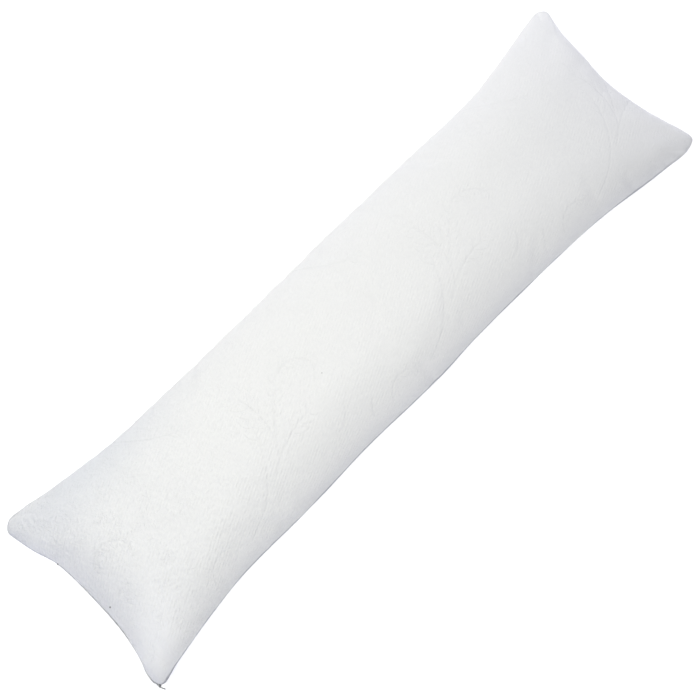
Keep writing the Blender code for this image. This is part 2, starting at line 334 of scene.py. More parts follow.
class Graph:
    """The node graph of one new material."""

    NOISE_ROUGHNESS = 0.55
    FIRST_COLOUR, SECOND_COLOUR, MIXED_COLOUR = 6, 7, 2

    def __init__(self, name: str) -> None:
        """Make the material.

        Args:
            name: of the material.
        """
        self.material = bpy.data.materials.new(name)
        self.material.use_nodes = True
        self.tree = self.material.node_tree
        self.shader = self.tree.nodes["Principled BSDF"]

    def node(self, kind: str, settings: dict, inputs: dict) -> bpy.types.Node:
        """Add a node.

        Args:
            kind: its type.
            settings: its own properties, which are set first.
            inputs: numbers, colours or links for its sockets, by name or number.
        Returns:
            The node.
        """
        made = self.tree.nodes.new(kind)
        for name, value in settings.items():
            setattr(made, name, value)
        for name, value in inputs.items():
            self.feed(made.inputs[name], value)
        return made

    def feed(self, socket: bpy.types.NodeSocket, value: object) -> None:
        """Link a value or an output into a socket, or set the socket to it.

        Args:
            socket: of a node.
            value: number, colour, value or output.
        """
        if isinstance(value, Value):
            self.tree.links.new(value.socket, socket)
        elif isinstance(value, bpy.types.NodeSocket):
            self.tree.links.new(value, socket)
        else:
            socket.default_value = value

    def math(self, operation: str, *values: Number) -> Value:
        """Add a Math node.

        Args:
            operation: what it works out.
            values: its numbers, in order.
        Returns:
            Its result.
        """
        made = self.node("ShaderNodeMath", {"operation": operation}, dict(enumerate(values)))
        return Value(self, made.outputs[0])

    def soft_step(self, value: Number, start: float, end: float, low: float = 0.0) -> Value:
        """Rise smoothly from low to 1, between two numbers of which either may be larger.

        Args:
            value: that is looked at.
            start: number up to which the result is low.
            end: number from which the result is 1.
            low: the least result.
        Returns:
            The result.
        """
        made = self.node("ShaderNodeMapRange", {"interpolation_type": "SMOOTHSTEP"},
                         {"Value": value, "From Min": start, "From Max": end})
        rise = Value(self, made.outputs["Result"])
        return rise * (1 - low) + low if low else rise

    def noise(self, vector: bpy.types.NodeSocket, scale: float, detail: float) -> Value:
        """Cloudy noise from 0 to 1, its features one over the scale in size.

        Args:
            vector: place that is looked at.
            scale: of the largest features.
            detail: octaves of smaller ones.
        Returns:
            The noise.
        """
        made = self.node("ShaderNodeTexNoise", {}, {
            "Vector": vector, "Scale": scale, "Detail": detail,
            "Roughness": self.NOISE_ROUGHNESS})
        return Value(self, made.outputs["Fac"])

    def blend(self, share: Number, first: object, second: object) -> bpy.types.NodeSocket:
        """Mix two colours: the second one's share is given.

        Args:
            share: of the second colour, from 0 to 1.
            first: colour or output.
            second: colour or output.
        Returns:
            The mixed colour.
        """
        made = self.node("ShaderNodeMix", {"data_type": "RGBA"}, {"Factor": share})
        self.feed(made.inputs[self.FIRST_COLOUR], first)
        self.feed(made.inputs[self.SECOND_COLOUR], second)
        return made.outputs[self.MIXED_COLOUR]

    def position(self) -> bpy.types.NodeSocket:
        """The place on the object, in metres."""
        return self.node("ShaderNodeTexCoord", {}, {}).outputs["Object"]

    def split(self, vector: bpy.types.NodeSocket) -> tuple[Value, Value, Value]:
        """The three numbers of a vector."""
        made = self.node("ShaderNodeSeparateXYZ", {}, {"Vector": vector})
        return tuple(Value(self, output) for output in made.outputs)

    def raise_surface(self, height_mm: Number) -> None:
        """Let a height in millimetres tilt the shader's normal.

        Args:
            height_mm: of the surface.
        """
        bump = self.node("ShaderNodeBump", {}, {"Height": height_mm, "Strength": 1.0,
                                                "Distance": MILLIMETRE})
        self.feed(self.shader.inputs["Normal"], bump.outputs["Normal"])

    def shade(self, inputs: dict) -> bpy.types.Material:
        """Feed the shader's sockets, by their names, and give back the material.

        Args:
            inputs: numbers, colours or links, by socket.
        Returns:
            The material.
        """
        for name, value in inputs.items():
            self.feed(self.shader.inputs[name], value)
        return self.material


# --- Finishes ------------------------------------------------------------------------

class Stalk(NamedTuple):
    """One bowed stalk of the relief, in metres on the flat cloth.

    It leaves its root at a heading, in degrees, and bends to the left for a positive
    radius and to the right for a negative one. Leaves stand on both sides of it past
    its bare stretch, spaced by the pitch.
    """

    x: float
    y: float
    heading: float
    radius: float
    length: float
    bare: float = 1.0
    leaf: float = 0.0
    pitch: float = 1.0


class Fleck(NamedTuple):
    """One dark fleck of lint on the upper side."""

    x: float
    y: float
    radius: float


class ClothGraph(Graph):
    """The node graph of a knit, which knows each place on the cloth."""

    def __init__(self, name: str, mapped: bool) -> None:
        """Make the material, and measure the cloth.

        Args:
            name: of the material.
            mapped: True where the piece has a map of its flat cloth.
        """
        super().__init__(name)
        if mapped:
            flat = self.node("ShaderNodeUVMap", {"uv_map": ClothMap.NAME}, {})
            self.cloth = flat.outputs["UV"]
        else:
            self.cloth = self.position()
        self.along, self.across, _ = self.split(self.cloth)


@dataclass(frozen=True)
class KnitFinish:
    """White stretch knit: slanting ribs, uneven stitches and a faint leaf relief.

    A pair of numbers is the reach of a soft step: metres along or across the cloth,
    metres from a seam, or levels of a noise. Scales are those of a noise, and tints and
    trough shades are shares of the trough colour, which is partly painted shade, in the
    troughs of the ribs, the thin yarn and the sunk lines, and partly random unevenness
    of the white. The lead angle is how far behind its root, in radians, a stalk is
    still measured.
    """

    colour: tuple = (0.832, 0.832, 0.822, 1.0)
    # Trough colour: painted shade in troughs and grooves, mixed with random unevenness of the
    # white.
    trough_shade_and_tone_colour: tuple = (0.672, 0.678, 0.686, 1.0)
    # Colour of the painted shade along the seams.
    seam_shade_colour: tuple = (0.40, 0.41, 0.44, 1.0)
    # Colours of the painted light and of the painted shade.
    painted_light_colour: tuple = (0.93, 0.93, 0.93, 1.0)
    painted_shade_colour: tuple = (0.60, 0.63, 0.69, 1.0)
    lint_colour: tuple = (0.10, 0.09, 0.08, 1.0)
    roughness: float = 0.78
    specular: float = 0.25
    sheen: float = 0.12
    sheen_roughness: float = 0.45
    base_tint: float = 0.175
    cloud_scale: float = 9.0
    cloud_tint: float = 0.05
    fibre_scale: float = 900.0
    fibre_tint: float = 0.12
    fibre_roughness: float = 0.14

    # The yarn.
    rib_pitch: float = 0.0053
    rib_heading: float = 26.5
    rib_height_mm: float = 0.26
    rib_trough_shade: float = 0.14
    rib_wander: float = 0.35
    rib_wander_scale: float = 14.0
    rib_patches: tuple = (0.34, 0.62)
    rib_patch_scale: float = 16.0
    rib_patch_share: float = 0.6
    rib_flank: tuple = (0.10, -0.10)
    grain_size: float = 0.0046
    grain_length: float = 0.6
    grain_height_mm: float = 0.98
    grain_trough_shade: float = 0.55
    stitch_pitch: float = 0.0011
    stitch_height_mm: float = 0.035

    # How strongly the yarn shows, and what is added to that near the zip.
    slack: float = 0.76
    zip_half: tuple = (0.50, -0.10)
    near_slack: float = 0.74
    near_reach: tuple = (0.05, -0.62)
    flank_slack: float = 0.30
    flank_reach: tuple = (0.04, -0.15)
    ear_slack: float = 0.6
    ear_reach: tuple = (-0.54, -0.68)
    ear_sides: tuple = (-0.14, 0.02)

    # Painted shade along the seams.
    edge_width: float = 0.0100
    edge_reach: float = 0.060
    edge_share: float = 0.55
    edge_line: float = 1.35
    edge_shadow: float = 0.46
    stop_reach: tuple = (-0.62, -0.68)
    stop_side: tuple = (0.02, 0.10)
    stop_share: float = 0.60
    stop_rest: float = 0.02
    right_side: tuple = (0.04, -0.10)
    near_corner: tuple = (-0.545, -0.500)
    far_corner: tuple = (0.545, 0.500)
    far_fade: tuple = (0.70, 0.55)
    far_rest: float = 0.1

    # Painted light at the far end.
    painted_light_end: tuple = (0.54, 0.69)
    painted_light_middle: tuple = (0.23, 0.13)
    painted_light_share: float = 0.25
    painted_light_seam: float = 0.65
    painted_light_seam_reach: float = 0.7

    # The leaf relief.
    repeat: float = 0.4395
    repeat_start: float = -0.392
    repeat_lead: float = 0.130
    line_width: float = 0.0038
    line_height_mm: float = 0.62
    line_groove_shade: float = 0.07
    line_fade: tuple = (0.25, -0.35)
    line_rest: float = 0.55
    faint_scale: float = 60.0
    faint_places: tuple = (0.12, 0.44)
    stalk_rise: float = 0.06
    stalk_fall: float = 0.80
    leaf_angle: float = 38.0
    leaf_plumpness: float = 0.19
    leaf_bow: float = 7.0
    leaf_start: float = 1.25
    leaf_taper: float = 0.6
    leaf_height_mm: float = 0.22
    leaf_cover: float = 0.6
    leaf_ease: float = 0.004
    blade_edge: tuple = (-0.0004, 0.0012)
    rim_width: float = 0.6
    rim_share: float = 0.35
    lead_angle: float = 0.6

    # Creases beside the zip, and crinkles.
    crease_width: float = 0.0050
    crease_height_mm: float = 0.34
    crinkle_size: float = 0.0125
    crinkle_height_mm: float = 0.42
    crinkle_line: tuple = (0.055, 0.0)
    crinkle_patches: tuple = (0.40, 0.62)
    crinkle_patch_scale: float = 26.0
    crinkle_reach: tuple = (-0.30, -0.62)
    crinkle_rest: float = 0.08

    stalks: tuple = table(
        Stalk,
        (-0.025, -0.150, 17.0, 0.215, 0.225, 0.165, 0.039, 0.0232),
        (0.100, -0.090, 42.0, 0.120, 0.165, 0.060, 0.042, 0.0247),
        (0.080, -0.100, 38.0, -0.200, 0.135, 0.060, 0.034, 0.0217),
        (0.130, -0.055, 52.0, -0.600, 0.100, 0.030, 0.029, 0.0217),
        (0.197, 0.018, 45.0, -0.045, 0.100, 0.016, 0.021, 0.0188),
        (0.212, -0.123, 8.0, 0.055, 0.068, 0.070, 0.013, 0.0174),
        (0.280, -0.152, 75.0, -0.080, 0.045, 0.050, 0.013, 0.0174),
        (-0.115, -0.158, 85.0, -0.038, 0.095, 0.012, 0.018, 0.0174),
        (-0.078, 0.195, -68.0, 0.230, 0.160, 0.120, 0.023, 0.0217),
    )
    creases: tuple = table(
        Stalk,
        (-0.676, 0.176, -104.0, 0.300, 0.040),
        (-0.664, 0.186, -102.0, 0.260, 0.052),
        (-0.650, 0.182, -100.0, 0.300, 0.040),
        (-0.671, 0.122, -76.0, -0.400, 0.074),
        (-0.655, 0.112, -82.0, -0.500, 0.058),
        (-0.644, 0.052, -68.0, 0.240, 0.046),
        (-0.658, 0.030, -90.0, -0.300, 0.056),
        (-0.634, 0.006, -58.0, 0.200, 0.040),
    )
    # Painted light in soft patches of the cover, and painted shade where the share is negative.
    painted_light_spots: tuple = table(
        Spot,
        (-0.655, -0.150, 42.0, 0.075, 0.033, 0.60),
        (-0.050, -0.055, 0.0, 0.400, 0.040, 0.10),
        (-0.520, 0.170, 0.0, 0.115, 0.045, -0.42),
    )
    flecks: tuple = table(Fleck, (-0.6602, -0.0418, 0.0020), (-0.1253, -0.0205, 0.0011))

    def material(self, name: str, mapped: bool) -> bpy.types.Material:
        """Make the knit.

        Args:
            name: of the material.
            mapped: True on the cover, which has a map of its flat cloth and knows how
                far each place is from a seam.
        Returns:
            The material.
        """
        graph = ClothGraph(name, mapped)
        over_ribs, with_ribs = self._turned(graph)
        towards_zip = graph.soft_step(graph.along, *self.zip_half)
        ribs = self._ribs(graph, over_ribs) * self._shown(graph, towards_zip)
        grain = self._grain(graph, over_ribs, with_ribs)
        stitches = self._stitches(graph, over_ribs, with_ribs)
        slack = self._slack(graph, towards_zip)
        lines: Number = 0.0
        leaves: Number = 0.0
        creases: Number = 0.0
        if mapped:
            lines, leaves = self._sprigs(graph)
            creases = self._creases(graph)
        graph.raise_surface(
            (ribs * (1 - leaves * self.leaf_cover) * self.rib_height_mm
             + grain * self.grain_height_mm) * slack
            + stitches * self.stitch_height_mm + leaves * self.leaf_height_mm
            - lines * graph.soft_step(graph.along, *self.line_fade, self.line_rest)
            * self.line_height_mm
            - creases * self.crease_height_mm
            - self._crinkles(graph) * self.crinkle_height_mm)
        fibres = graph.noise(graph.cloth, self.fibre_scale, 3.0)
        clouds = graph.noise(graph.cloth, self.cloud_scale, 3.0)
        # Painted shade in the troughs of the ribs, stronger on the right flank, in the thin yarn
        # and in the sunk lines, mixed with random unevenness of the white.
        trough_shade_and_tone = ((1 - ribs) * self.rib_trough_shade + (0.5 - grain) * self.grain_trough_shade * slack
                  + fibres * self.fibre_tint + clouds * self.cloud_tint
                  + lines * self.line_groove_shade + self.base_tint)
        tint = graph.blend(trough_shade_and_tone, self.colour, self.trough_shade_and_tone_colour)
        if mapped:
            edge = graph.node("ShaderNodeAttribute", {"attribute_name": Cover.SEAM_DISTANCE}, {})
            away = Value(graph, edge.outputs["Fac"])
            # Painted light and painted shade in soft patches, then painted shade along the seams.
            painted_light, shade = self._painted_light_and_shade(graph, away)
            tint = graph.blend(painted_light, tint, self.painted_light_colour)
            tint = graph.blend(shade, tint, self.painted_shade_colour)
            tint = graph.blend(self._seam_shade(graph, away), tint, self.seam_shade_colour)
        return graph.shade({
            "Base Color": graph.blend(self._lint(graph), tint, self.lint_colour),
            "Roughness": self.roughness + fibres * self.fibre_roughness,
            "Sheen Weight": self.sheen,
            "Sheen Roughness": self.sheen_roughness,
            "Specular IOR Level": self.specular})

    def _turned(self, graph: ClothGraph) -> tuple[Value, Value]:
        """Metres across the ribs, which wander a little, and along them.

        Args:
            graph: of the material.
        Returns:
            Metres across the ribs, and metres along them.
        """
        along, across = graph.along, graph.across
        heading = math.radians(self.rib_heading)
        wander = ((graph.noise(graph.cloth, self.rib_wander_scale, 2.0) - 0.5)
                  * (self.rib_wander * self.rib_pitch))
        return (across * math.cos(heading) - along * math.sin(heading) + wander,
                across * math.sin(heading) + along * math.cos(heading))

    def _ribs(self, graph: Graph, over_ribs: Value) -> Value:
        """Round ribs from 0 to 1, across the direction that they run in."""
        wave = graph.math("COSINE", over_ribs * (2 * math.pi / self.rib_pitch))
        return wave * 0.5 + 0.5

    def _shown(self, graph: ClothGraph, towards_zip: Value) -> Value:
        """How clear the ribs are, from 0 to 1: in patches, and more on the right flank.

        Args:
            graph: of the material.
            towards_zip: share of the zipped half, from 0 to 1.
        Returns:
            The ribs' share.
        """
        patches = graph.soft_step(graph.noise(graph.cloth, self.rib_patch_scale, 2.0),
                                  *self.rib_patches)
        flank = graph.soft_step(graph.across, *self.rib_flank) * towards_zip
        return patches * self.rib_patch_share + flank * (1 - self.rib_patch_share)

    def _slack(self, graph: ClothGraph, towards_zip: Value) -> Value:
        """How strongly the yarn shows: more on slack cloth, towards the zip's stop.

        Args:
            graph: of the material.
            towards_zip: share of the zipped half, from 0 to 1.
        Returns:
            The strength, about 1.
        """
        along, across = graph.along, graph.across
        ears = (graph.soft_step(across, *self.ear_sides) * (2 * self.ear_slack)
                - self.ear_slack)
        return (self.slack + graph.soft_step(along, *self.near_reach) * self.near_slack
                + graph.soft_step(across, *self.flank_reach) * towards_zip * self.flank_slack
                + graph.soft_step(along, *self.ear_reach) * ears)

    def _grain(self, graph: Graph, over_ribs: Value, with_ribs: Value) -> Value:
        """Uneven thick and thin yarn from 0 to 1, a little longer along the ribs.

        Args:
            graph: of the material.
            over_ribs: metres across the ribs.
            with_ribs: metres along them.
        Returns:
            The yarn's height.
        """
        spot = graph.node("ShaderNodeCombineXYZ", {},
                          {"X": over_ribs, "Y": with_ribs * self.grain_length})
        return graph.noise(spot.outputs["Vector"], 1 / self.grain_size, 3.0)

    def _stitches(self, graph: Graph, over_ribs: Value, with_ribs: Value) -> Value:
        """Rows of small V stitches from 0 to 1.

        Args:
            graph: of the material.
            over_ribs: metres across the ribs.
            with_ribs: metres along them.
        Returns:
            The stitches' height.
        """
        column = abs(graph.math("FRACT", over_ribs / self.stitch_pitch) - 0.5) * 2
        row = with_ribs / self.stitch_pitch + column * 0.5
        return abs(graph.math("SINE", row * math.pi)) * (1 - column * column)

    def _seam_shade(self, graph: ClothGraph, away: Value) -> Value:
        """Painted shade along the seams, from 0 to 1: a dark line and a broad band on the right
        side, and a line beside the stop.

        Args:
            graph: of the material.
            away: metres from the nearest seam.
        Returns:
            The share of the painted seam shade's colour.
        """
        along, across = graph.along, graph.across
        # A thin dark line of painted shade at the seam, and a broad band of painted shade on the
        # right side.
        line = graph.soft_step(away, self.edge_width, self.edge_width / 6)
        near = (graph.soft_step(along, *self.stop_reach)
                * (graph.soft_step(across, *self.stop_side) * self.stop_share
                   + self.stop_rest))
        right = (graph.soft_step(across, *self.right_side)
                 * graph.soft_step(along - across, *self.near_corner)
                 * graph.soft_step(along + across, *self.far_corner)
                 * graph.soft_step(along, *self.far_fade, self.far_rest))
        shadow = graph.soft_step(away, self.edge_reach, 0.0) * self.edge_shadow
        side = (line * self.edge_line + shadow) * right
        return graph.math("MAXIMUM", line * near, side) * self.edge_share

    def _painted_light_and_shade(self, graph: ClothGraph, away: Value) -> tuple[Value, Value]:
        """Painted light and painted shade in soft patches, and painted light at the far end,
        strongest at the ends.

        Args:
            graph: that the nodes are made in.
            away: metres from the nearest seam.
        Returns:
            How much painted light and how much painted shade the cloth gets, each from 0 to 1.
        """
        seam = graph.soft_step(away, self.edge_reach * self.painted_light_seam_reach, 0.0)
        painted_light = (graph.soft_step(graph.along, *self.painted_light_end)
                * (seam * self.painted_light_seam + self.painted_light_share)
                * graph.soft_step(abs(graph.across), *self.painted_light_middle))
        shade: Number = 0.0
        x, y, _ = graph.split(graph.position())
        # Soft spots of painted light, or of painted shade where the amount is negative.
        for painted_spot in self.painted_light_spots:
            ahead, aside = painted_spot.measure(x, y)
            spot = graph.math("EXPONENT", (ahead * ahead + aside * aside) * -0.5)
            if painted_spot.amount > 0:
                painted_light = painted_light + spot * painted_spot.amount
            else:
                shade = shade - spot * painted_spot.amount
        return painted_light, shade

    def _crinkles(self, graph: ClothGraph) -> Value:
        """Fine random creases in slack cloth, from 0 to 1, mostly towards the zip.

        Args:
            graph: of the material.
        Returns:
            The crinkles' depth.
        """
        lines = abs(graph.noise(graph.cloth, 1 / self.crinkle_size, 2.5) - 0.5)
        patches = graph.noise(graph.cloth, self.crinkle_patch_scale, 1.0)
        return (graph.soft_step(lines, *self.crinkle_line)
                * graph.soft_step(patches, *self.crinkle_patches)
                * graph.soft_step(graph.along, *self.crinkle_reach, self.crinkle_rest))

    def _lint(self, graph: Graph) -> Number:
        """The dark flecks, from 0 to 1, by their place on the upper side.

        Args:
            graph: of the material.
        Returns:
            The share of the lint's colour.
        """
        x, y, z = graph.split(graph.position())
        shares: Number = 0.0
        for fleck in self.flecks:
            dx, dy = x - fleck.x, y - fleck.y
            away = graph.math("SQRT", dx * dx + dy * dy)
            shares = shares + graph.soft_step(away, fleck.radius, fleck.radius / 3)
        return shares * graph.math("GREATER_THAN", z, CoverForm.seam_height)

    def _sprigs(self, graph: ClothGraph) -> tuple[Value, Value]:
        """The leaf relief, repeated along the cloth.

        Args:
            graph: that the nodes are made in.
        Returns:
            The sunk lines and the raised leaves, each from 0 to 1.
        """
        place = graph.math("WRAP", graph.along - self.repeat_start,
                           self.repeat - self.repeat_lead, -self.repeat_lead)
        lines: Number = 0.0
        leaves: Number = 0.0
        for stalk in self.stalks:
            run, aside = self._follow(graph, place, stalk)
            stem = self._stem(graph, run, abs(aside), stalk, self.line_width)
            rim, leaf = self._leaves(graph, run, aside, stalk)
            edge = graph.math("MAXIMUM", stem, rim * self.rim_share)
            lines = graph.math("MAXIMUM", lines, edge)
            leaves = graph.math("MAXIMUM", leaves, leaf)
        faint = graph.noise(graph.position(), self.faint_scale, 1.0)
        return lines * graph.soft_step(faint, *self.faint_places), leaves

    def _creases(self, graph: ClothGraph) -> Value:
        """The fine creases beside the zip, from 0 to 1.

        Args:
            graph: of the material.
        Returns:
            The creases' depth.
        """
        total: Number = 0.0
        for crease in self.creases:
            run, aside = self._follow(graph, graph.along, crease)
            line = self._stem(graph, run, abs(aside), crease, self.crease_width)
            total = graph.math("MAXIMUM", total, line)
        return total

    def _follow(self, graph: ClothGraph, place: Value, stalk: Stalk) -> tuple[Value, Value]:
        """Measure the cloth along and across a bowed stalk.

        Args:
            graph: that the nodes are made in.
            place: metres along the repeat, or along the cloth.
            stalk: that is followed.
        Returns:
            How far along the stalk each point is, and how far outside its bow.
        """
        turn, radius = math.copysign(1.0, stalk.radius), abs(stalk.radius)
        heading = math.radians(stalk.heading)
        dx = place - (stalk.x - stalk.radius * math.sin(heading))
        dy = graph.across - (stalk.y + stalk.radius * math.cos(heading))
        angle = graph.math("ARCTAN2", dy, dx) - (heading - turn * math.pi / 2)
        run = graph.math("WRAP", angle * turn, 2 * math.pi - self.lead_angle,
                         -self.lead_angle) * radius
        return run, graph.math("SQRT", dx * dx + dy * dy) - radius

    def _stem(self, graph: Graph, run: Value, off: Value, stalk: Stalk,
              width: float) -> Value:
        """The line of a stalk, from 0 to 1, which fades in and out at its ends.

        Args:
            graph: of the material.
            run: metres along the stalk.
            off: metres beside it.
            stalk: that is drawn.
            width: of the line.
        Returns:
            The line's depth.
        """
        return (graph.soft_step(off, width, 0.0)
                * graph.soft_step(run, 0.0, stalk.length * self.stalk_rise)
                * graph.soft_step(run, stalk.length, stalk.length * self.stalk_fall))

    def _leaves(self, graph: Graph, run: Value, aside: Value,
                stalk: Stalk) -> tuple[Value, Value]:
        """The leaves on both sides of a stalk, leaning forward and smaller to its end.

        Args:
            graph: that the nodes are made in.
            run: metres along the stalk.
            aside: metres outside its bow.
            stalk: that carries them.
        Returns:
            Their rims and their raised blades, each from 0 to 1.
        """
        lean = math.radians(self.leaf_angle)
        off = abs(aside)
        root = run - off / math.tan(lean) - off * off * self.leaf_bow
        shift = graph.math("GREATER_THAN", aside, 0.0) * (stalk.pitch / 2)
        step = graph.math("WRAP", root + shift, stalk.pitch / 2, -stalk.pitch / 2)
        leafy = (graph.soft_step(root, stalk.bare, stalk.bare + self.leaf_ease)
                 * graph.soft_step(root, stalk.length, stalk.length - self.leaf_ease))
        size = stalk.leaf * (self.leaf_start - root * (self.leaf_taper / stalk.length))
        share = (off / math.sin(lean) + step * math.cos(lean)) / size
        inside = (share * (1 - share) * size * (4 * self.leaf_plumpness)
                  - abs(step) * math.sin(lean))
        blade = graph.soft_step(inside, *self.blade_edge) * leafy
        rim = graph.soft_step(abs(inside), self.line_width * self.rim_width, 0.0) * leafy
        return rim, blade


@dataclass(frozen=True)
class CoilFinish:
    """Matt nylon of the zip's coil, a little milky."""

    colour: tuple = (0.88, 0.88, 0.88, 1.0)
    worn_colour: tuple = (0.93, 0.93, 0.92, 1.0)
    roughness: float = 0.42
    wear: float = 0.15
    speck_scale: float = 2600.0
    speck_height_mm: float = 0.01

    def material(self, name: str) -> bpy.types.Material:
        """Make the nylon.

        Args:
            name: of the material.
        Returns:
            The material.
        """
        graph = Graph(name)
        specks = graph.noise(graph.position(), self.speck_scale, 2.0)
        graph.raise_surface(specks * self.speck_height_mm)
        return graph.shade({"Base Color": graph.blend(specks, self.colour, self.worn_colour),
                            "Roughness": self.roughness + specks * self.wear})


@dataclass(frozen=True)
class TapeFinish:
    """Plain woven tape that the zip's coil is sewn to."""

    colour: tuple = (0.90, 0.90, 0.90, 1.0)
    # Colour of the painted shade between the threads.
    thread_gap_shade_colour: tuple = (0.78, 0.79, 0.80, 1.0)
    roughness: float = 0.9
    thread: float = 0.0005
    thread_gloss: float = 0.1
    thread_height_mm: float = 0.06

    def material(self, name: str) -> bpy.types.Material:
        """Make the weave, its threads crossing along Y and Z, with painted shade between them.

        Args:
            name: of the material.
        Returns:
            The material.
        """
        graph = Graph(name)
        _, along, up = graph.split(graph.position())
        turn = math.pi / self.thread
        weave = abs(graph.math("SINE", along * turn) * graph.math("SINE", up * turn))
        graph.raise_surface(weave * self.thread_height_mm)
        return graph.shade({"Base Color": graph.blend(weave, self.thread_gap_shade_colour, self.colour),
                            "Roughness": self.roughness - weave * self.thread_gloss})


@dataclass(frozen=True)
class MetalFinish:
    """Dark nickel of the slider, rubbed lighter where fingers and the coil touch."""

    colour: tuple = (0.16, 0.165, 0.17, 1.0)
    rubbed_colour: tuple = (0.46, 0.46, 0.455, 1.0)
    roughness: float = 0.34
    metallic: float = 0.85
    patch_scale: float = 420.0
    patch_height_mm: float = 0.012
    rubbing: tuple = (0.52, 0.74)
    rubbed_gloss: float = 0.08
    grain_scale: float = 5200.0
    grain_height_mm: float = 0.006
    grain_roughness: float = 0.2

    def material(self, name: str) -> bpy.types.Material:
        """Make the metal.

        Args:
            name: of the material.
        Returns:
            The material.
        """
        graph = Graph(name)
        place = graph.position()
        patches = graph.noise(place, self.patch_scale, 4.0)
        grain = graph.noise(place, self.grain_scale, 2.0)
        rubbed = graph.soft_step(patches, *self.rubbing)
        graph.raise_surface(grain * self.grain_height_mm + patches * self.patch_height_mm)
        return graph.shade({"Base Color": graph.blend(rubbed, self.colour, self.rubbed_colour),
                            "Roughness": self.roughness + grain * self.grain_roughness
                            - rubbed * self.rubbed_gloss,
                            "Metallic": self.metallic})


@dataclass(frozen=True)
class FloorFinish:
    """Pale matt studio floor that gives back some light of its own."""

    colour: tuple = (0.93, 0.93, 0.93, 1.0)
    cloud_colour: tuple = (0.95, 0.95, 0.955, 1.0)
    cloud_scale: float = 1.5
    cloud_share: float = 0.2
    roughness: float = 0.9
    specular: float = 0.1
    glow_colour: tuple = (1.0, 1.0, 1.0, 1.0)
    glow: float = 0.41

    def material(self, name: str) -> bpy.types.Material:
        """Make the floor's paint.

        Args:
            name: of the material.
        Returns:
            The material.
        """
        graph = Graph(name)
        clouds = graph.noise(graph.position(), self.cloud_scale, 2.0)
        paint = graph.blend(clouds * self.cloud_share, self.colour, self.cloud_colour)
        return graph.shade({"Base Color": paint, "Roughness": self.roughness,
                            "Specular IOR Level": self.specular,
                            "Emission Color": self.glow_colour,
                            "Emission Strength": self.glow})


# --- The cover -----------------------------------------------------------------------

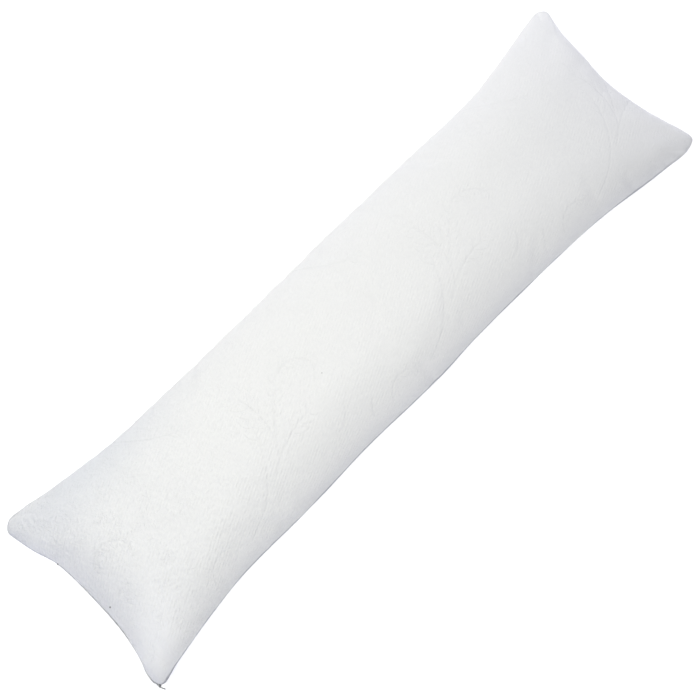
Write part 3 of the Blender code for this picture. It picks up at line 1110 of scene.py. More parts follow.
@dataclass
class CoverForm:
    """The filled cover's form: two panels between four seams.

    Places on a panel are given from -1 to 1, along it from the near end and across
    it from the right side.
    """

    seam_height: float = 0.074
    crown: float = 0.090
    belly: float = 0.088
    belly_ease: float = 0.010
    ear_droop: float = 0.010
    ear_thinning: float = 0.55
    ear_power_along: float = 8.0
    ear_power_across: float = 4.0
    lengthwise_power: float = 5.5
    crosswise_power: float = 2.2
    seam_power: float = 0.54
    near_left: Ear = Ear(x=-0.7020, y=0.2030, radius=0.022)
    near_right: Ear = Ear(x=-0.6935, y=-0.1972, radius=0.018)
    far_left: Ear = Ear(x=0.7042, y=0.2058, radius=0.017)
    far_right: Ear = Ear(x=0.7048, y=-0.1924, radius=0.018)

    def _smooth_through(self, rows: list, places: np.ndarray) -> np.ndarray:
        """Read a smooth curve (Catmull-Rom) through (place, height) rows.

        Args:
            rows: (place, height) pairs in order of place.
            places: where the curve is read.
        Returns:
            The heights there.
        """
        spots, heights = np.array(rows).T
        last = len(rows) - 2
        index = np.clip(np.searchsorted(spots, places, side="right") - 1, 0, last)
        before, after = np.maximum(index - 1, 0), np.minimum(index + 2, last + 1)
        x1, x2, y1, y2 = spots[index], spots[index + 1], heights[index], heights[index + 1]
        slope1 = (y2 - heights[before]) / (x2 - spots[before]) * (x2 - x1)
        slope2 = (heights[after] - y1) / (spots[after] - x1) * (x2 - x1)
        t = (places - x1) / (x2 - x1)
        return (y1 * (2 * t**3 - 3 * t**2 + 1) + slope1 * (t**3 - 2 * t**2 + t)
                + y2 * (3 * t**2 - 2 * t**3) + slope2 * (t**3 - t**2))

    def _seam(self, across: bool, first: Ear, last: Ear, rows: list,
              share: np.ndarray) -> np.ndarray:
        """Points of one seam, from its first ear to its last.

        Args:
            across: True for an end seam, which runs along Y, and False for a long one.
            first: ear where the share is 0.
            last: ear where the share is 1.
            rows: (place along the seam, place across it) between the ears.
            share: from 0 to 1, one for each point.
        Returns:
            The points' x and y, one pair a row.
        """
        axis = 1 if across else 0
        start, end = first[axis], last[axis]
        place = start + (end - start) * share
        near_first = share < 0.5
        radius = np.where(near_first, first.radius, last.radius)
        corner = np.where(near_first, start, end)
        distance = np.abs(place - corner)
        angle = np.pi / 4 * (1 - distance / radius)
        on_round = distance < radius
        kept = np.where(on_round, radius * (1 - np.sin(angle)), distance)
        inset = np.where(on_round, radius * (1 - np.cos(angle)), 0.0)
        place = corner + np.where(near_first, kept, -kept)
        curve = [(start, first[1 - axis])] + rows + [(end, last[1 - axis])]
        offset = self._smooth_through(curve, place)
        offset = offset - np.where(offset > 0, inset, -inset)
        return np.stack((offset, place) if across else (place, offset), axis=-1)

    def left_seam(self, share: np.ndarray) -> np.ndarray:
        """Points of the left long seam, from the near end."""
        rows = [(row.x, row.left) for row in SIDE_ROWS]
        return self._seam(False, self.near_left, self.far_left, rows, share)

    def right_seam(self, share: np.ndarray) -> np.ndarray:
        """Points of the right long seam, from the near end."""
        rows = [(row.x, -row.right) for row in SIDE_ROWS]
        return self._seam(False, self.near_right, self.far_right, rows, share)

    def near_seam(self, share: np.ndarray) -> np.ndarray:
        """Points of the zipped end seam, from the right side."""
        rows = [(row.y, -row.near) for row in END_ROWS]
        return self._seam(True, self.near_right, self.near_left, rows, share)

    def far_seam(self, share: np.ndarray) -> np.ndarray:
        """Points of the plain end seam, from the right side."""
        rows = [(row.y, row.far) for row in END_ROWS]
        return self._seam(True, self.far_right, self.far_left, rows, share)

    def plan(self, along: np.ndarray, across: np.ndarray) -> np.ndarray:
        """Blend the four seams into the panel's points, seen from above.

        Args:
            along: places along the panel, one a row of the grid.
            across: places across it, one a column.
        Returns:
            x and y for each row and column.
        """
        a, b = (along[:, None, None] + 1) / 2, (across[None, :, None] + 1) / 2
        ends = np.array([0.0, 1.0])
        left, right = self.left_seam(a[:, 0, 0]), self.right_seam(a[:, 0, 0])
        near, far = self.near_seam(b[0, :, 0]), self.far_seam(b[0, :, 0])
        (p, r), (q, s) = self.near_seam(ends), self.far_seam(ends)
        return (b * left[:, None] + (1 - b) * right[:, None] + (1 - a) * near[None]
                + a * far[None] - (1 - a) * (1 - b) * p - a * (1 - b) * q
                - (1 - a) * b * r - a * b * s)

    def surface(self, along: np.ndarray, across: np.ndarray, panel: Panel) -> np.ndarray:
        """Points of one panel of the cover.

        Args:
            along: places along the panel, one a row of the grid.
            across: places across it, one a column.
            panel: which of the two.
        Returns:
            x, y and z for each row and column.
        """
        u, v = np.abs(along)[:, None], np.abs(across)[None, :]
        ear = u**self.ear_power_along * v**self.ear_power_across
        seam = self.seam_height - self.ear_droop * ear
        full = ((1 - u**self.lengthwise_power) ** self.seam_power
                * (1 - v**self.crosswise_power) ** self.seam_power
                * (1 - self.ear_thinning * ear))
        if panel is Panel.UPPER:
            height = seam + full * self.crown
        else:
            free = seam - full * self.belly
            eased = (free + self.belly_ease) ** 2 / (4 * self.belly_ease)
            height = np.where(free >= self.belly_ease, free,
                              np.where(free <= -self.belly_ease, 0.0, eased))
        return np.dstack((self.plan(along, across), height))

    def tugged(self, points: np.ndarray) -> np.ndarray:
        """Pull the outline a little where the ears and the long seams aren't even.

        Args:
            points: x, y and z, in the model.
        Returns:
            The points after all the tugs.
        """
        moved = points.copy()
        for tug in TUGS:
            away = np.hypot(points[..., 0] - tug.x, points[..., 1] - tug.y) / tug.reach
            share = np.clip(1 - away * away, 0.0, None) ** 2
            moved[..., 0] += tug.dx * share
            moved[..., 1] += tug.dy * share
        return moved


class ClothMap:
    """A UV map that holds metres on the flat cloth of each panel."""

    NAME = "flat_cloth"

    @staticmethod
    def measure(points: np.ndarray) -> np.ndarray:
        """Measure a panel's grid along its own surface, from its middle.

        Args:
            points: x, y and z for each row and column.
        Returns:
            Metres along and across the flat cloth for each row and column.
        """
        flat = np.zeros(points.shape[:2] + (2,))
        for axis in (0, 1):
            steps = np.linalg.norm(np.diff(points, axis=axis), axis=-1)
            total = np.cumsum(steps, axis=axis)
            first = np.zeros_like(np.take(total, [0], axis=axis))
            total = np.concatenate((first, total), axis=axis)
            middle = np.take(total, [total.shape[axis] // 2], axis=axis)
            flat[..., axis] = total - middle
        return flat


@dataclass
class Cover:
    """The filled knit cover: cloth that is blown up against its seams, then finished.

    The gathers' sway is an amount and its turns. Their beat is its own turns, how far it
    drifts, and the drift's turns.
    """

    form: CoverForm = field(default_factory=CoverForm)
    finish: KnitFinish = field(default_factory=KnitFinish)
    cells_along: int = 180
    cells_across: int = 64
    cloth_mass: float = 0.2
    stiffness: float = 0.3
    pressure: float = 4.0
    spare_cloth: float = 0.004
    settle_frames: int = 20
    steps_a_frame: int = 6
    detail_reach: int = 60
    largest_move: float = 0.006
    roll_height: float = 0.0017
    roll_width: float = 0.0028
    roll_flat: float = 0.35
    groove_reach: float = 0.012
    lump_height: float = 0.0006
    lump_size: float = 0.14
    lump_shift: float = 2.1
    pucker_height: float = 0.0007
    pucker_pitches: tuple = (0.017, 0.029)
    pucker_start: float = 1.3
    pucker_sway: tuple = (3.0, 23.0)
    pucker_beat: tuple = (31.0, 2.0, 11.0)
    pucker_reach: float = 0.008
    swell_edge: float = 0.020
    fold_peak: float = 0.7
    fold_limit: float = 0.0081
    piece: bpy.types.Object = None
    flat: np.ndarray = None
    move: np.ndarray = None
    SEAM_DISTANCE = "seam_distance"

    def build(self) -> "Cover":
        """Make the cover's mesh.

        Returns:
            The cover, so that calls can be strung together.
        """
        along = np.sin(np.pi * (np.arange(self.cells_along + 1) / self.cells_along - 0.5))
        across = np.sin(np.pi * (np.arange(self.cells_across + 1) / self.cells_across - 0.5))
        start = np.stack([self.form.surface(along, across, panel) for panel in Panel])
        self.move = self._shift(start)
        start = self.form.tugged(start + self.move)
        self.flat = np.stack([ClothMap.measure(panel) for panel in start])
        self.piece = self._mesh(start)
        self._sculpt(start, self._fill())
        self._refine()
        return self

    def _shift(self, points: np.ndarray) -> np.ndarray:
        """How far the form has to move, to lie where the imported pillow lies.

        Args:
            points: x, y and z for each panel, row and column.
        Returns:
            The move, in metres.
        """
        low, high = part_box("pillow")
        middle = np.array((low + high) / 2)
        own = (points.reshape(-1, 3).min(axis=0) + points.reshape(-1, 3).max(axis=0)) / 2
        return np.array((middle[0] - own[0], middle[1] - own[1], 0.0))

    def _index(self) -> np.ndarray:
        """The vertex number of every grid point: both panels share their rim.

        Returns:
            The numbers for each panel, row and column.
        """
        rows, columns = self.cells_along + 1, self.cells_across + 1
        upper = np.arange(rows * columns).reshape(rows, columns)
        lower = upper.copy()
        inner = (rows - 2) * (columns - 2)
        lower[1:-1, 1:-1] = rows * columns + np.arange(inner).reshape(rows - 2, columns - 2)
        return np.stack((upper, lower))

    def _ring(self, grid: np.ndarray, panel: Panel) -> list:
        """What a grid holds at the four corners of every cell, in order round it."""
        ring = [grid[:-1, :-1], grid[1:, :-1], grid[1:, 1:], grid[:-1, 1:]]
        return ring[::panel.value]

    def _mesh(self, points: np.ndarray) -> bpy.types.Object:
        """Join both panels' grids into one closed mesh.

        Args:
            points: x, y and z for each panel, row and column.
        Returns:
            The new object.
        """
        index = self._index()
        places = np.zeros((index.max() + 1, 3))
        places[index] = points
        faces, corners = [], []
        for side, panel in enumerate(Panel):
            ring, flat = self._ring(index[side], panel), self._ring(self.flat[side], panel)
            faces.append(np.stack(ring, axis=-1).reshape(-1, 4))
            corners.append(np.stack(flat, axis=-2).reshape(-1, 2))
        mesh = bpy.data.meshes.new("pillow_cover")
        mesh.from_pydata(places.tolist(), [], np.concatenate(faces).tolist())
        layer = mesh.uv_layers.new(name=ClothMap.NAME)
        layer.data.foreach_set("uv", np.concatenate(corners).astype(np.float32).ravel())
        away = np.zeros(len(places), dtype=np.float32)
        away[index] = self._rim_distance()[0]
        edge = mesh.attributes.new(self.SEAM_DISTANCE, "FLOAT", "POINT")
        edge.data.foreach_set("value", away)
        mesh.shade_smooth()
        return bring_in("pillow_cover", mesh)

    def _fill(self) -> np.ndarray:
        """Blow the cloth up against its seams.

        Returns:
            x, y and z for each panel, row and column, after that.
        """
        index = self._index()
        rim = np.unique(np.concatenate([index[0, 0], index[0, -1], index[0, :, 0],
                                        index[0, :, -1]]))
        seams = self.piece.vertex_groups.new(name="seams")
        seams.add(rim.tolist(), 1.0, "REPLACE")
        cloth = self.piece.modifiers.new("fill", "CLOTH")
        settings = cloth.settings
        settings.quality = self.steps_a_frame
        settings.mass = self.cloth_mass
        settings.use_pressure = True
        settings.uniform_pressure_force = self.pressure
        settings.shrink_min = -self.spare_cloth
        settings.bending_stiffness = self.stiffness
        settings.vertex_group_mass = "seams"
        settings.effector_weights.gravity = 0.0
        cloth.point_cache.frame_end = self.settle_frames
        for number in range(1, self.settle_frames + 1):
            bpy.context.scene.frame_set(number)
        settle(self.piece, cloth)
        bpy.context.scene.frame_set(1)
        self.piece.vertex_groups.clear()
        places = np.zeros(len(self.piece.data.vertices) * 3)
        self.piece.data.vertices.foreach_get("co", places)
        return places.reshape(-1, 3)[index]

    def _sculpt(self, start: np.ndarray, filled: np.ndarray) -> None:
        """Keep the filled cloth's own puckers, then work in seams, folds and lumps.

        Args:
            start: the grid before it was filled.
            filled: the grid after.
        """
        moved = filled - start
        detail = moved - self._spread(moved)
        length = np.linalg.norm(detail, axis=-1, keepdims=True)
        detail *= np.minimum(1.0, self.largest_move / np.maximum(length, TINY))
        points = start + detail
        normals = self._normals(points)
        rim, place = self._rim_distance()
        depth = self._groove(rim) + self._folds(start) - self._lumps(start)
        depth = depth - self._puckers(rim, place) - self._swells(start, rim)
        points = points - normals * depth[..., None]
        points[..., 2] = np.maximum(points[..., 2], 0.0)
        places = np.zeros((self._index().max() + 1, 3))
        places[self._index()] = points
        self.piece.data.vertices.foreach_set("co", places.ravel())
        self.piece.data.update()

    def _spread(self, moved: np.ndarray) -> np.ndarray:
        """Even a field out over the grid, with the rim held, to leave its slow part.

        Args:
            moved: field on each panel's grid.
        Returns:
            Its slow part.
        """
        slow = moved.copy()
        for _ in range(self.detail_reach):
            inner = (slow[:, :-2, 1:-1] + slow[:, 2:, 1:-1] + slow[:, 1:-1, :-2]
                     + slow[:, 1:-1, 2:]) / 4
            slow[:, 1:-1, 1:-1] = inner
        return slow

    def _normals(self, points: np.ndarray) -> np.ndarray:
        """Outward direction at each grid point, alike for both panels on the rim.

        Args:
            points: x, y and z for each panel, row and column.
        Returns:
            Vectors of length one.
        """
        normals = np.zeros_like(points)
        for side, panel in enumerate(Panel):
            along, across = (np.gradient(points[side], axis=axis) for axis in (0, 1))
            normals[side] = unit(np.cross(along, across) * panel.value)
        rim = np.ones(points.shape[1:3], dtype=bool)
        rim[1:-1, 1:-1] = False
        both = normals[0] + normals[1]
        both[..., 2] = 0.0
        normals[:, rim] = unit(both)[rim]
        return normals

    def _rim_distance(self) -> tuple[np.ndarray, np.ndarray]:
        """How far each grid point is from the nearest seam, and where along it.

        Returns:
            The distance over the cloth, and the place along the seam, in metres.
        """
        along, across = self.flat[..., 0], self.flat[..., 1]
        ends = np.minimum(along - along[:, :1], along[:, -1:] - along)
        sides = np.minimum(across - across[:, :, :1], across[:, :, -1:] - across)
        place = np.where(ends < sides, across, along)
        return np.minimum(ends, sides), place

    def _groove(self, rim: np.ndarray) -> np.ndarray:
        """Depth of the soft groove beside each seam, which leaves the seam a low roll.

        Args:
            rim: metres from the nearest seam.
        Returns:
            The depth at each point.
        """
        fall = np.clip((rim - self.roll_width * self.roll_flat) / self.roll_width, 0.0, 1.0)
        rise = np.clip(1 - (rim - self.roll_width) / self.groove_reach, 0.0, 1.0)
        return self.roll_height * (fall * fall * (3 - 2 * fall)) * rise**2

    def _folds(self, points: np.ndarray) -> np.ndarray:
        """Depth of the folds that run in from the seams and the ears.

        Args:
            points: x, y and z for each panel, row and column.
        Returns:
            The depth at each point.
        """
        total = np.zeros(points.shape[:3])
        for fold in FOLDS:
            share, aside = fold.measure(points[..., 0], points[..., 1])
            deepness = np.sin(np.pi * np.clip(share, 0.0, 1.0) ** self.fold_peak)
            total += fold.amount * deepness * 0.5 ** (aside ** 2)
        return np.minimum(total, self.fold_limit)

    def _lumps(self, points: np.ndarray) -> np.ndarray:
        """Slow unevenness of the filling, as a few crossing waves.

        Args:
            points: x, y and z for each panel, row and column.
        Returns:
            The height at each point.
        """
        turn = 2 * math.pi / self.lump_size
        side = np.array([0.0, self.lump_shift]).reshape(2, 1, 1)
        waves = sum(np.sin(turn * (wave.along * points[..., 0] + wave.across * points[..., 1])
                           + wave.start + wave.sense * side) for wave in LUMPS)
        return self.lump_height * (waves / len(LUMPS))

    def _swells(self, points: np.ndarray, rim: np.ndarray) -> np.ndarray:
        """Height of the fuller places of the upper panel, which end at the seams.

        Args:
            points: x, y and z for each panel, row and column.
            rim: metres from the nearest seam.
        Returns:
            The height at each point.
        """
        total = np.zeros(points.shape[:3])
        for swell in SWELLS:
            share, aside = swell.measure(points[0, ..., 0], points[0, ..., 1])
            total[0] += swell.amount * np.exp(-(share**2 + aside**2) / 2)
        return total * np.clip(rim / self.swell_edge, 0.0, 1.0)

    def _puckers(self, rim: np.ndarray, place: np.ndarray) -> np.ndarray:
        """Height of the small gathers along the seams, uneven and soon gone.

        Args:
            rim: metres from the nearest seam.
            place: metres along it.
        Returns:
            The height at each point.
        """
        fine, coarse = self.pucker_pitches
        sway, sway_turn = self.pucker_sway
        beat, drift, drift_turn = self.pucker_beat
        gather = (np.sin(place * 2 * math.pi / fine + sway * np.sin(place * sway_turn))
                  + np.sin(place * 2 * math.pi / coarse + self.pucker_start))
        strength = 0.5 + 0.5 * np.sin(place * beat + drift * np.sin(place * drift_turn))
        near_seam = (rim / self.pucker_reach) * np.exp(1 - rim / self.pucker_reach)
        return self.pucker_height * 0.5 * gather * strength * near_seam

    def _refine(self) -> None:
        """Round the mesh off by one subdivision."""
        smooth = self.piece.modifiers.new("round", "SUBSURF")
        smooth.levels = smooth.render_levels = 1
        settle(self.piece, smooth)

    def dress(self) -> None:
        """Give the cover its knit, hang it on the root body, and hide the imported pillow."""
        self.piece.data.materials.append(self.finish.material("white_knit", mapped=True))
        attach(self.piece, "root")
        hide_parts("pillow")


# --- The zip -------------------------------------------------------------------------

# Turns that make a level outline stand upright, level with X or with Y.
QUARTER_X = (math.pi / 2, 0.0, 0.0)
QUARTER_Y = (0.0, math.pi / 2, 0.0)
# A face looks mostly or squarely along an axis where that part of its normal is larger.
MOSTLY = 0.9
SQUARELY = 0.99


class Workpiece:
    """A hard piece under way: a primitive that is worked on in edit mode."""

    SMOOTH_BELOW = 40.0

    def __init__(self, name: str, add: Callable[..., object], **settings: object) -> None:
        """Add the primitive at its size and place.

        Args:
            name: of the piece.
            add: operator that adds the primitive.
            settings: of that operator.
        """
        bpy.ops.object.select_all(action="DESELECT")
        add(**settings)
        bpy.ops.object.transform_apply(location=True, rotation=True, scale=True)
        self.piece = bpy.context.object
        self.piece.name = self.piece.data.name = name

    def pick(self, wanted: Callable[[bmesh.types.BMFace], bool]) -> "Workpiece":
        """Select the faces for which a test of their place or normal is true."""
        return self._choose("FACE", wanted)

    def pick_edges(self, wanted: Callable[[bmesh.types.BMEdge], bool]) -> "Workpiece":
        """Select the edges for which a test of their place is true."""
        return self._choose("EDGE", wanted)

    def _choose(self, kind: str, wanted: Callable[[object], bool]) -> "Workpiece":
        """Select some parts of the mesh and nothing else, in edit mode.

        Args:
            kind: FACE or EDGE.
            wanted: True for a part that is to be selected.
        Returns:
            The workpiece.
        """
        bpy.ops.object.mode_set(mode="EDIT")
        bpy.ops.mesh.select_mode(type=kind)
        bpy.ops.mesh.select_all(action="DESELECT")
        shape = bmesh.from_edit_mesh(self.piece.data)
        for part in shape.faces if kind == "FACE" else shape.edges:
            if wanted(part):
                part.select_set(True)
        shape.select_flush_mode()
        bmesh.update_edit_mesh(self.piece.data)
        return self

    def scale(self, x: float, y: float, z: float, centre: tuple) -> "Workpiece":
        """Stretch what is selected about a centre."""
        bpy.ops.transform.resize(value=(x, y, z), center_override=centre)
        return self

    def draw_out(self, x: float, y: float, z: float) -> "Workpiece":
        """Extrude what is selected by a distance."""
        bpy.ops.mesh.extrude_region_move(TRANSFORM_OT_translate={"value": (x, y, z)})
        return self

    def bevel(self, offset: float, segments: int) -> "Workpiece":
        """Round off the selected edges."""
        bpy.ops.mesh.bevel(offset=offset, segments=segments, affect="EDGES")
        return self

    def inset(self, thickness: float, depth: float = 0.0, **settings: bool) -> "Workpiece":
        """Draw a rim round what is selected, and sink or raise the rest."""
        bpy.ops.mesh.inset(thickness=thickness, depth=depth, **settings)
        return self

    def spin(self, number: int, angle: float, centre: tuple, axis: tuple) -> "Workpiece":
        """Sweep what is selected round an axis, in a number of steps."""
        bpy.ops.mesh.spin(steps=number, angle=angle, center=centre, axis=axis)
        return self

    def clean(self) -> "Workpiece":
        """Weld doubles and turn every face outwards.

        Returns:
            The workpiece.
        """
        self.pick_edges(lambda edge: True)
        bpy.ops.mesh.remove_doubles(threshold=MILLIMETRE / 100)
        bpy.ops.mesh.normals_make_consistent(inside=False)
        return self

    def place(self, matrix: Matrix) -> "Workpiece":
        """Leave edit mode, and move the form from its own axes to its place.

        Args:
            matrix: of the new axes.
        Returns:
            The workpiece.
        """
        bpy.ops.object.mode_set(mode="OBJECT")
        self.piece.data.transform(matrix)
        return self

    def take_in(self, other: "Workpiece") -> "Workpiece":
        """Join another workpiece into this one.

        Args:
            other: that is used up.
        Returns:
            The workpiece.
        """
        choose(self.piece)
        other.piece.select_set(True)
        bpy.ops.object.join()
        return self

    def dress(self, material: bpy.types.Material, slot: str) -> "Workpiece":
        """Finish the piece.

        Args:
            material: that covers it.
            slot: not used.
        Returns:
            The workpiece, riding on the pillow.
        """
        self.piece.data.materials.clear()
        self.piece.data.materials.append(material)
        choose(self.piece)
        bpy.ops.object.shade_smooth_by_angle(angle=math.radians(self.SMOOTH_BELOW))
        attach(self.piece, "root")
        return self


def block(name: str, centre: tuple, size: tuple) -> Workpiece:
    """Start a workpiece as a box."""
    return Workpiece(name, bpy.ops.mesh.primitive_cube_add, size=1.0, location=centre,
                     scale=size)


def ring(name: str, centre: tuple, radius: float, sides: int, turn: tuple,
         **settings: str) -> Workpiece:
    """Start a workpiece as a level outline with even sides, turned to stand upright."""
    return Workpiece(name, bpy.ops.mesh.primitive_circle_add, vertices=sides, radius=radius,
                     rotation=turn, location=centre, **settings)


@dataclass
class ZipRoute:
    """The line of the zip: the near end seam, from the slider to the stop.

    The runs are along the seam, from the tip of the right ear.
    """

    form: CoverForm
    move: np.ndarray
    slider_run: float = 0.0034
    slider_heading: float = 102.0
    start_run: float = 0.0090
    end_left: float = 0.0820
    fineness: int = 1800
    spots: int = 140

    def seam(self) -> np.ndarray:
        """Finely spaced points of the whole near end seam, from the right ear.

        Returns:
            x, y and z, one point a row.
        """
        across = np.linspace(-1.0, 1.0, self.fineness)
        edge = self.form.surface(np.array([-1.0]), across, Panel.UPPER)[0]
        return self.form.tugged(edge + self.move)

    def at(self, runs: np.ndarray) -> np.ndarray:
        """Points of the seam at the given runs.

        Args:
            runs: metres along the seam.
        Returns:
            x, y and z, one point a row.
        """
        seam = self.seam()
        run = np.insert(np.cumsum(gaps(seam)), 0, 0.0)
        return np.stack([np.interp(runs, run, seam[:, axis]) for axis in range(3)], axis=1)

    def points(self) -> np.ndarray:
        """Evenly spaced points of the line, from the slider.

        Returns:
            x, y and z, one point a row.
        """
        seam = self.seam()
        part = seam[:np.searchsorted(seam[:, 1], self.end_left)]
        return self.at(np.linspace(self.start_run, float(gaps(part).sum()), self.spots))

    def slider_stance(self) -> Matrix:
        """Axes at the slider's middle: X to the stop, Y off the pillow, and Z up.

        Returns:
            Their matrix.
        """
        heading = math.radians(self.slider_heading)
        place = Vector(self.at(np.array([self.slider_run]))[0])
        return self.stance(place, Vector((-math.sin(heading), math.cos(heading), 0.0)))

    def stance(self, place: Vector, away: Vector) -> Matrix:
        """Axes that stand at a place of the line.

        Args:
            place: in the model.
            away: level direction that looks off the pillow.
        Returns:
            Their matrix: X along the line, to the stop, Y off the pillow, and Z up.
        """
        axes = Matrix((Vector((away.y, -away.x, 0.0)), away, Vector((0.0, 0.0, 1.0))))
        return Matrix.Translation(place) @ axes.transposed().to_4x4()

    def repeat(self, work: Workpiece, pitch: float, merged: bool) -> None:
        """Array a piece along the whole line, bent to it.

        Args:
            work: the piece, its own X along the line and Y off the pillow.
            pitch: distance between copies.
            merged: True where each copy is welded to the next.
        """
        bpy.ops.object.mode_set(mode="OBJECT")
        points = self.points()
        guide = self._guide(points)
        row = work.piece.modifiers.new("row", "ARRAY")
        row.use_relative_offset = False
        row.use_constant_offset = True
        row.constant_offset_displace = (pitch, 0.0, 0.0)
        row.count = int(float(gaps(points).sum()) / pitch)
        row.use_merge_vertices = merged
        row.merge_threshold = MILLIMETRE / 20
        bend = work.piece.modifiers.new("bend", "CURVE")
        bend.object = guide
        settle(work.piece, row, bend)
        bpy.data.objects.remove(guide)
        if merged:
            work.pick_edges(lambda edge: edge.is_boundary)
            bpy.ops.mesh.fill_holes(sides=0)
            work.clean()
            bpy.ops.object.mode_set(mode="OBJECT")

    def _guide(self, points: np.ndarray) -> bpy.types.Object:
        """Draw the line as a curve whose own Y looks off the pillow.

        Args:
            points: of the line.
        Returns:
            The curve, which is removed after use.
        """
        data = bpy.data.curves.new("zip_line", "CURVE")
        data.dimensions = "3D"
        data.twist_mode = "Z_UP"
        line = data.splines.new("POLY")
        line.points.add(len(points) - 1)
        for point, place in zip(line.points, points):
            point.co = (*place, 1.0)
        return bring_in("zip_line", data)


class HemStep(NamedTuple):
    """One ring of a rolled hem: how far on it lies, and its size against the last one."""

    run: float
    size: float


@dataclass
class ZipChain:
    """The closed coil on its tapes, the rolled hems beside it, and its stop."""

    route: ZipRoute
    pitch: float = 0.0014
    wire: float = 0.00026
    wire_sides: int = 5
    ring_steps: int = 10
    ring_height: float = 0.0027
    ring_depth: float = 0.0013
    row_rise: float = 0.0008
    row_depth: float = 0.0003
    lean: float = 14.0
    tape_height: float = 0.0060
    tape_depth: float = 0.0003
    hem_radius: float = 0.0009
    hem_rise: float = 0.0032
    hem_depth: float = 0.0
    hem_sides: int = 10
    hem_shoulder: float = 0.4
    hem_dome: float = 0.6
    hem_steps: tuple = table(HemStep, (0.0012, 1.0), (0.0008, 0.86), (0.0008, 1 / 0.86),
                             (0.0012, 1.0))
    stop_length: float = 0.0028
    stop_depth: float = 0.0024
    stop_height: float = 0.0040
    stop_bevel: float = 0.0005

    def build(self) -> "ZipChain":
        """Make the chain's pieces.

        Returns:
            The chain, so that calls can be strung together.
        """
        coil = self._coil(1).take_in(self._coil(-1))
        coil.dress(CoilFinish().material("zip_nylon"), "zip_coil")
        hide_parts("zip_chain")
        self._tape().dress(TapeFinish().material("zip_tape_weave"), "zip_coil")
        hems = self._hem(1).take_in(self._hem(-1))
        hems.dress(KnitFinish().material("white_knit_hem", mapped=False), "cover")
        self._stop().dress(MetalFinish().material("zip_stop_nickel"), "zip_metal")
        return self

    def _coil(self, side: int) -> Workpiece:
        """Make one row of coil turns.

        Args:
            side: 1 for the upper row, -1 for the lower one.
        Returns:
            The row, bent to the line.
        """
        start = self.pitch * (0.75 if side > 0 else 0.25)
        centre = (start, self.row_depth, side * self.row_rise)
        top = centre[2] + self.ring_height / 2 - self.wire
        work = ring("zip_coil", (start, self.row_depth, top), self.wire, self.wire_sides,
                    QUARTER_X)
        work.pick_edges(lambda edge: True)
        work.spin(self.ring_steps, 2 * math.pi, centre, (1.0, 0.0, 0.0))
        work.clean().scale(1.0, self.ring_depth / self.ring_height, 1.0, centre)
        bpy.ops.transform.rotate(value=side * math.radians(self.lean), orient_axis="Y",
                                 center_override=centre)
        self.route.repeat(work, self.pitch, merged=False)
        return work

    def _tape(self) -> Workpiece:
        """Make the woven tapes, which meet behind the coil.

        Returns:
            The tapes, bent to the line.
        """
        length = sum(step.run for step in self.hem_steps)
        work = block("zip_tape", (length / 2, self.tape_depth, 0.0),
                     (length, self.tape_depth, self.tape_height))
        work.pick(lambda face: abs(face.normal.x) > MOSTLY)
        bpy.ops.mesh.delete(type="FACE")
        work.pick_edges(lambda edge: not edge.is_boundary).bevel(self.tape_depth / 4, 1)
        self.route.repeat(work, length, merged=True)
        return work

    def _hem(self, side: int) -> Workpiece:
        """Make one rolled hem, drawn in a little by each stitch.

        Args:
            side: 1 for the hem above the coil, -1 for the one below.
        Returns:
            The hem, bent to the line.
        """
        centre = (0.0, self.hem_depth, side * self.hem_rise)
        work = ring("cover_hem", centre, self.hem_radius, self.hem_sides, QUARTER_Y)
        work.pick_edges(lambda edge: True)
        for step in self.hem_steps:
            work.draw_out(step.run, 0.0, 0.0).scale(1.0, step.size, step.size, centre)
        self.route.repeat(work, sum(step.run for step in self.hem_steps), merged=True)
        work.pick(lambda face: len(face.verts) > 4)
        work.inset(self.hem_radius * self.hem_shoulder, self.hem_radius * self.hem_dome)
        bpy.ops.object.mode_set(mode="OBJECT")
        return work

    def _stop(self) -> Workpiece:
        """Make the crimped stop at the chain's end, with its dented face.

        Returns:
            The stop, in its place.
        """
        work = block("zip_stop", (0.0, self.row_depth, 0.0),
                     (self.stop_length, self.stop_depth, self.stop_height))
        work.pick_edges(lambda edge: True).bevel(self.stop_bevel, 3)
        work.pick(lambda face: face.normal.y > SQUARELY)
        work.inset(self.stop_bevel, -self.stop_bevel / 2)
        last, before = (Vector(point) for point in self.route.points()[[-1, -4]])
        run = last - before
        away = Vector((-run.y, run.x, 0.0)).normalized()
        return work.place(self.route.stance(last, away))


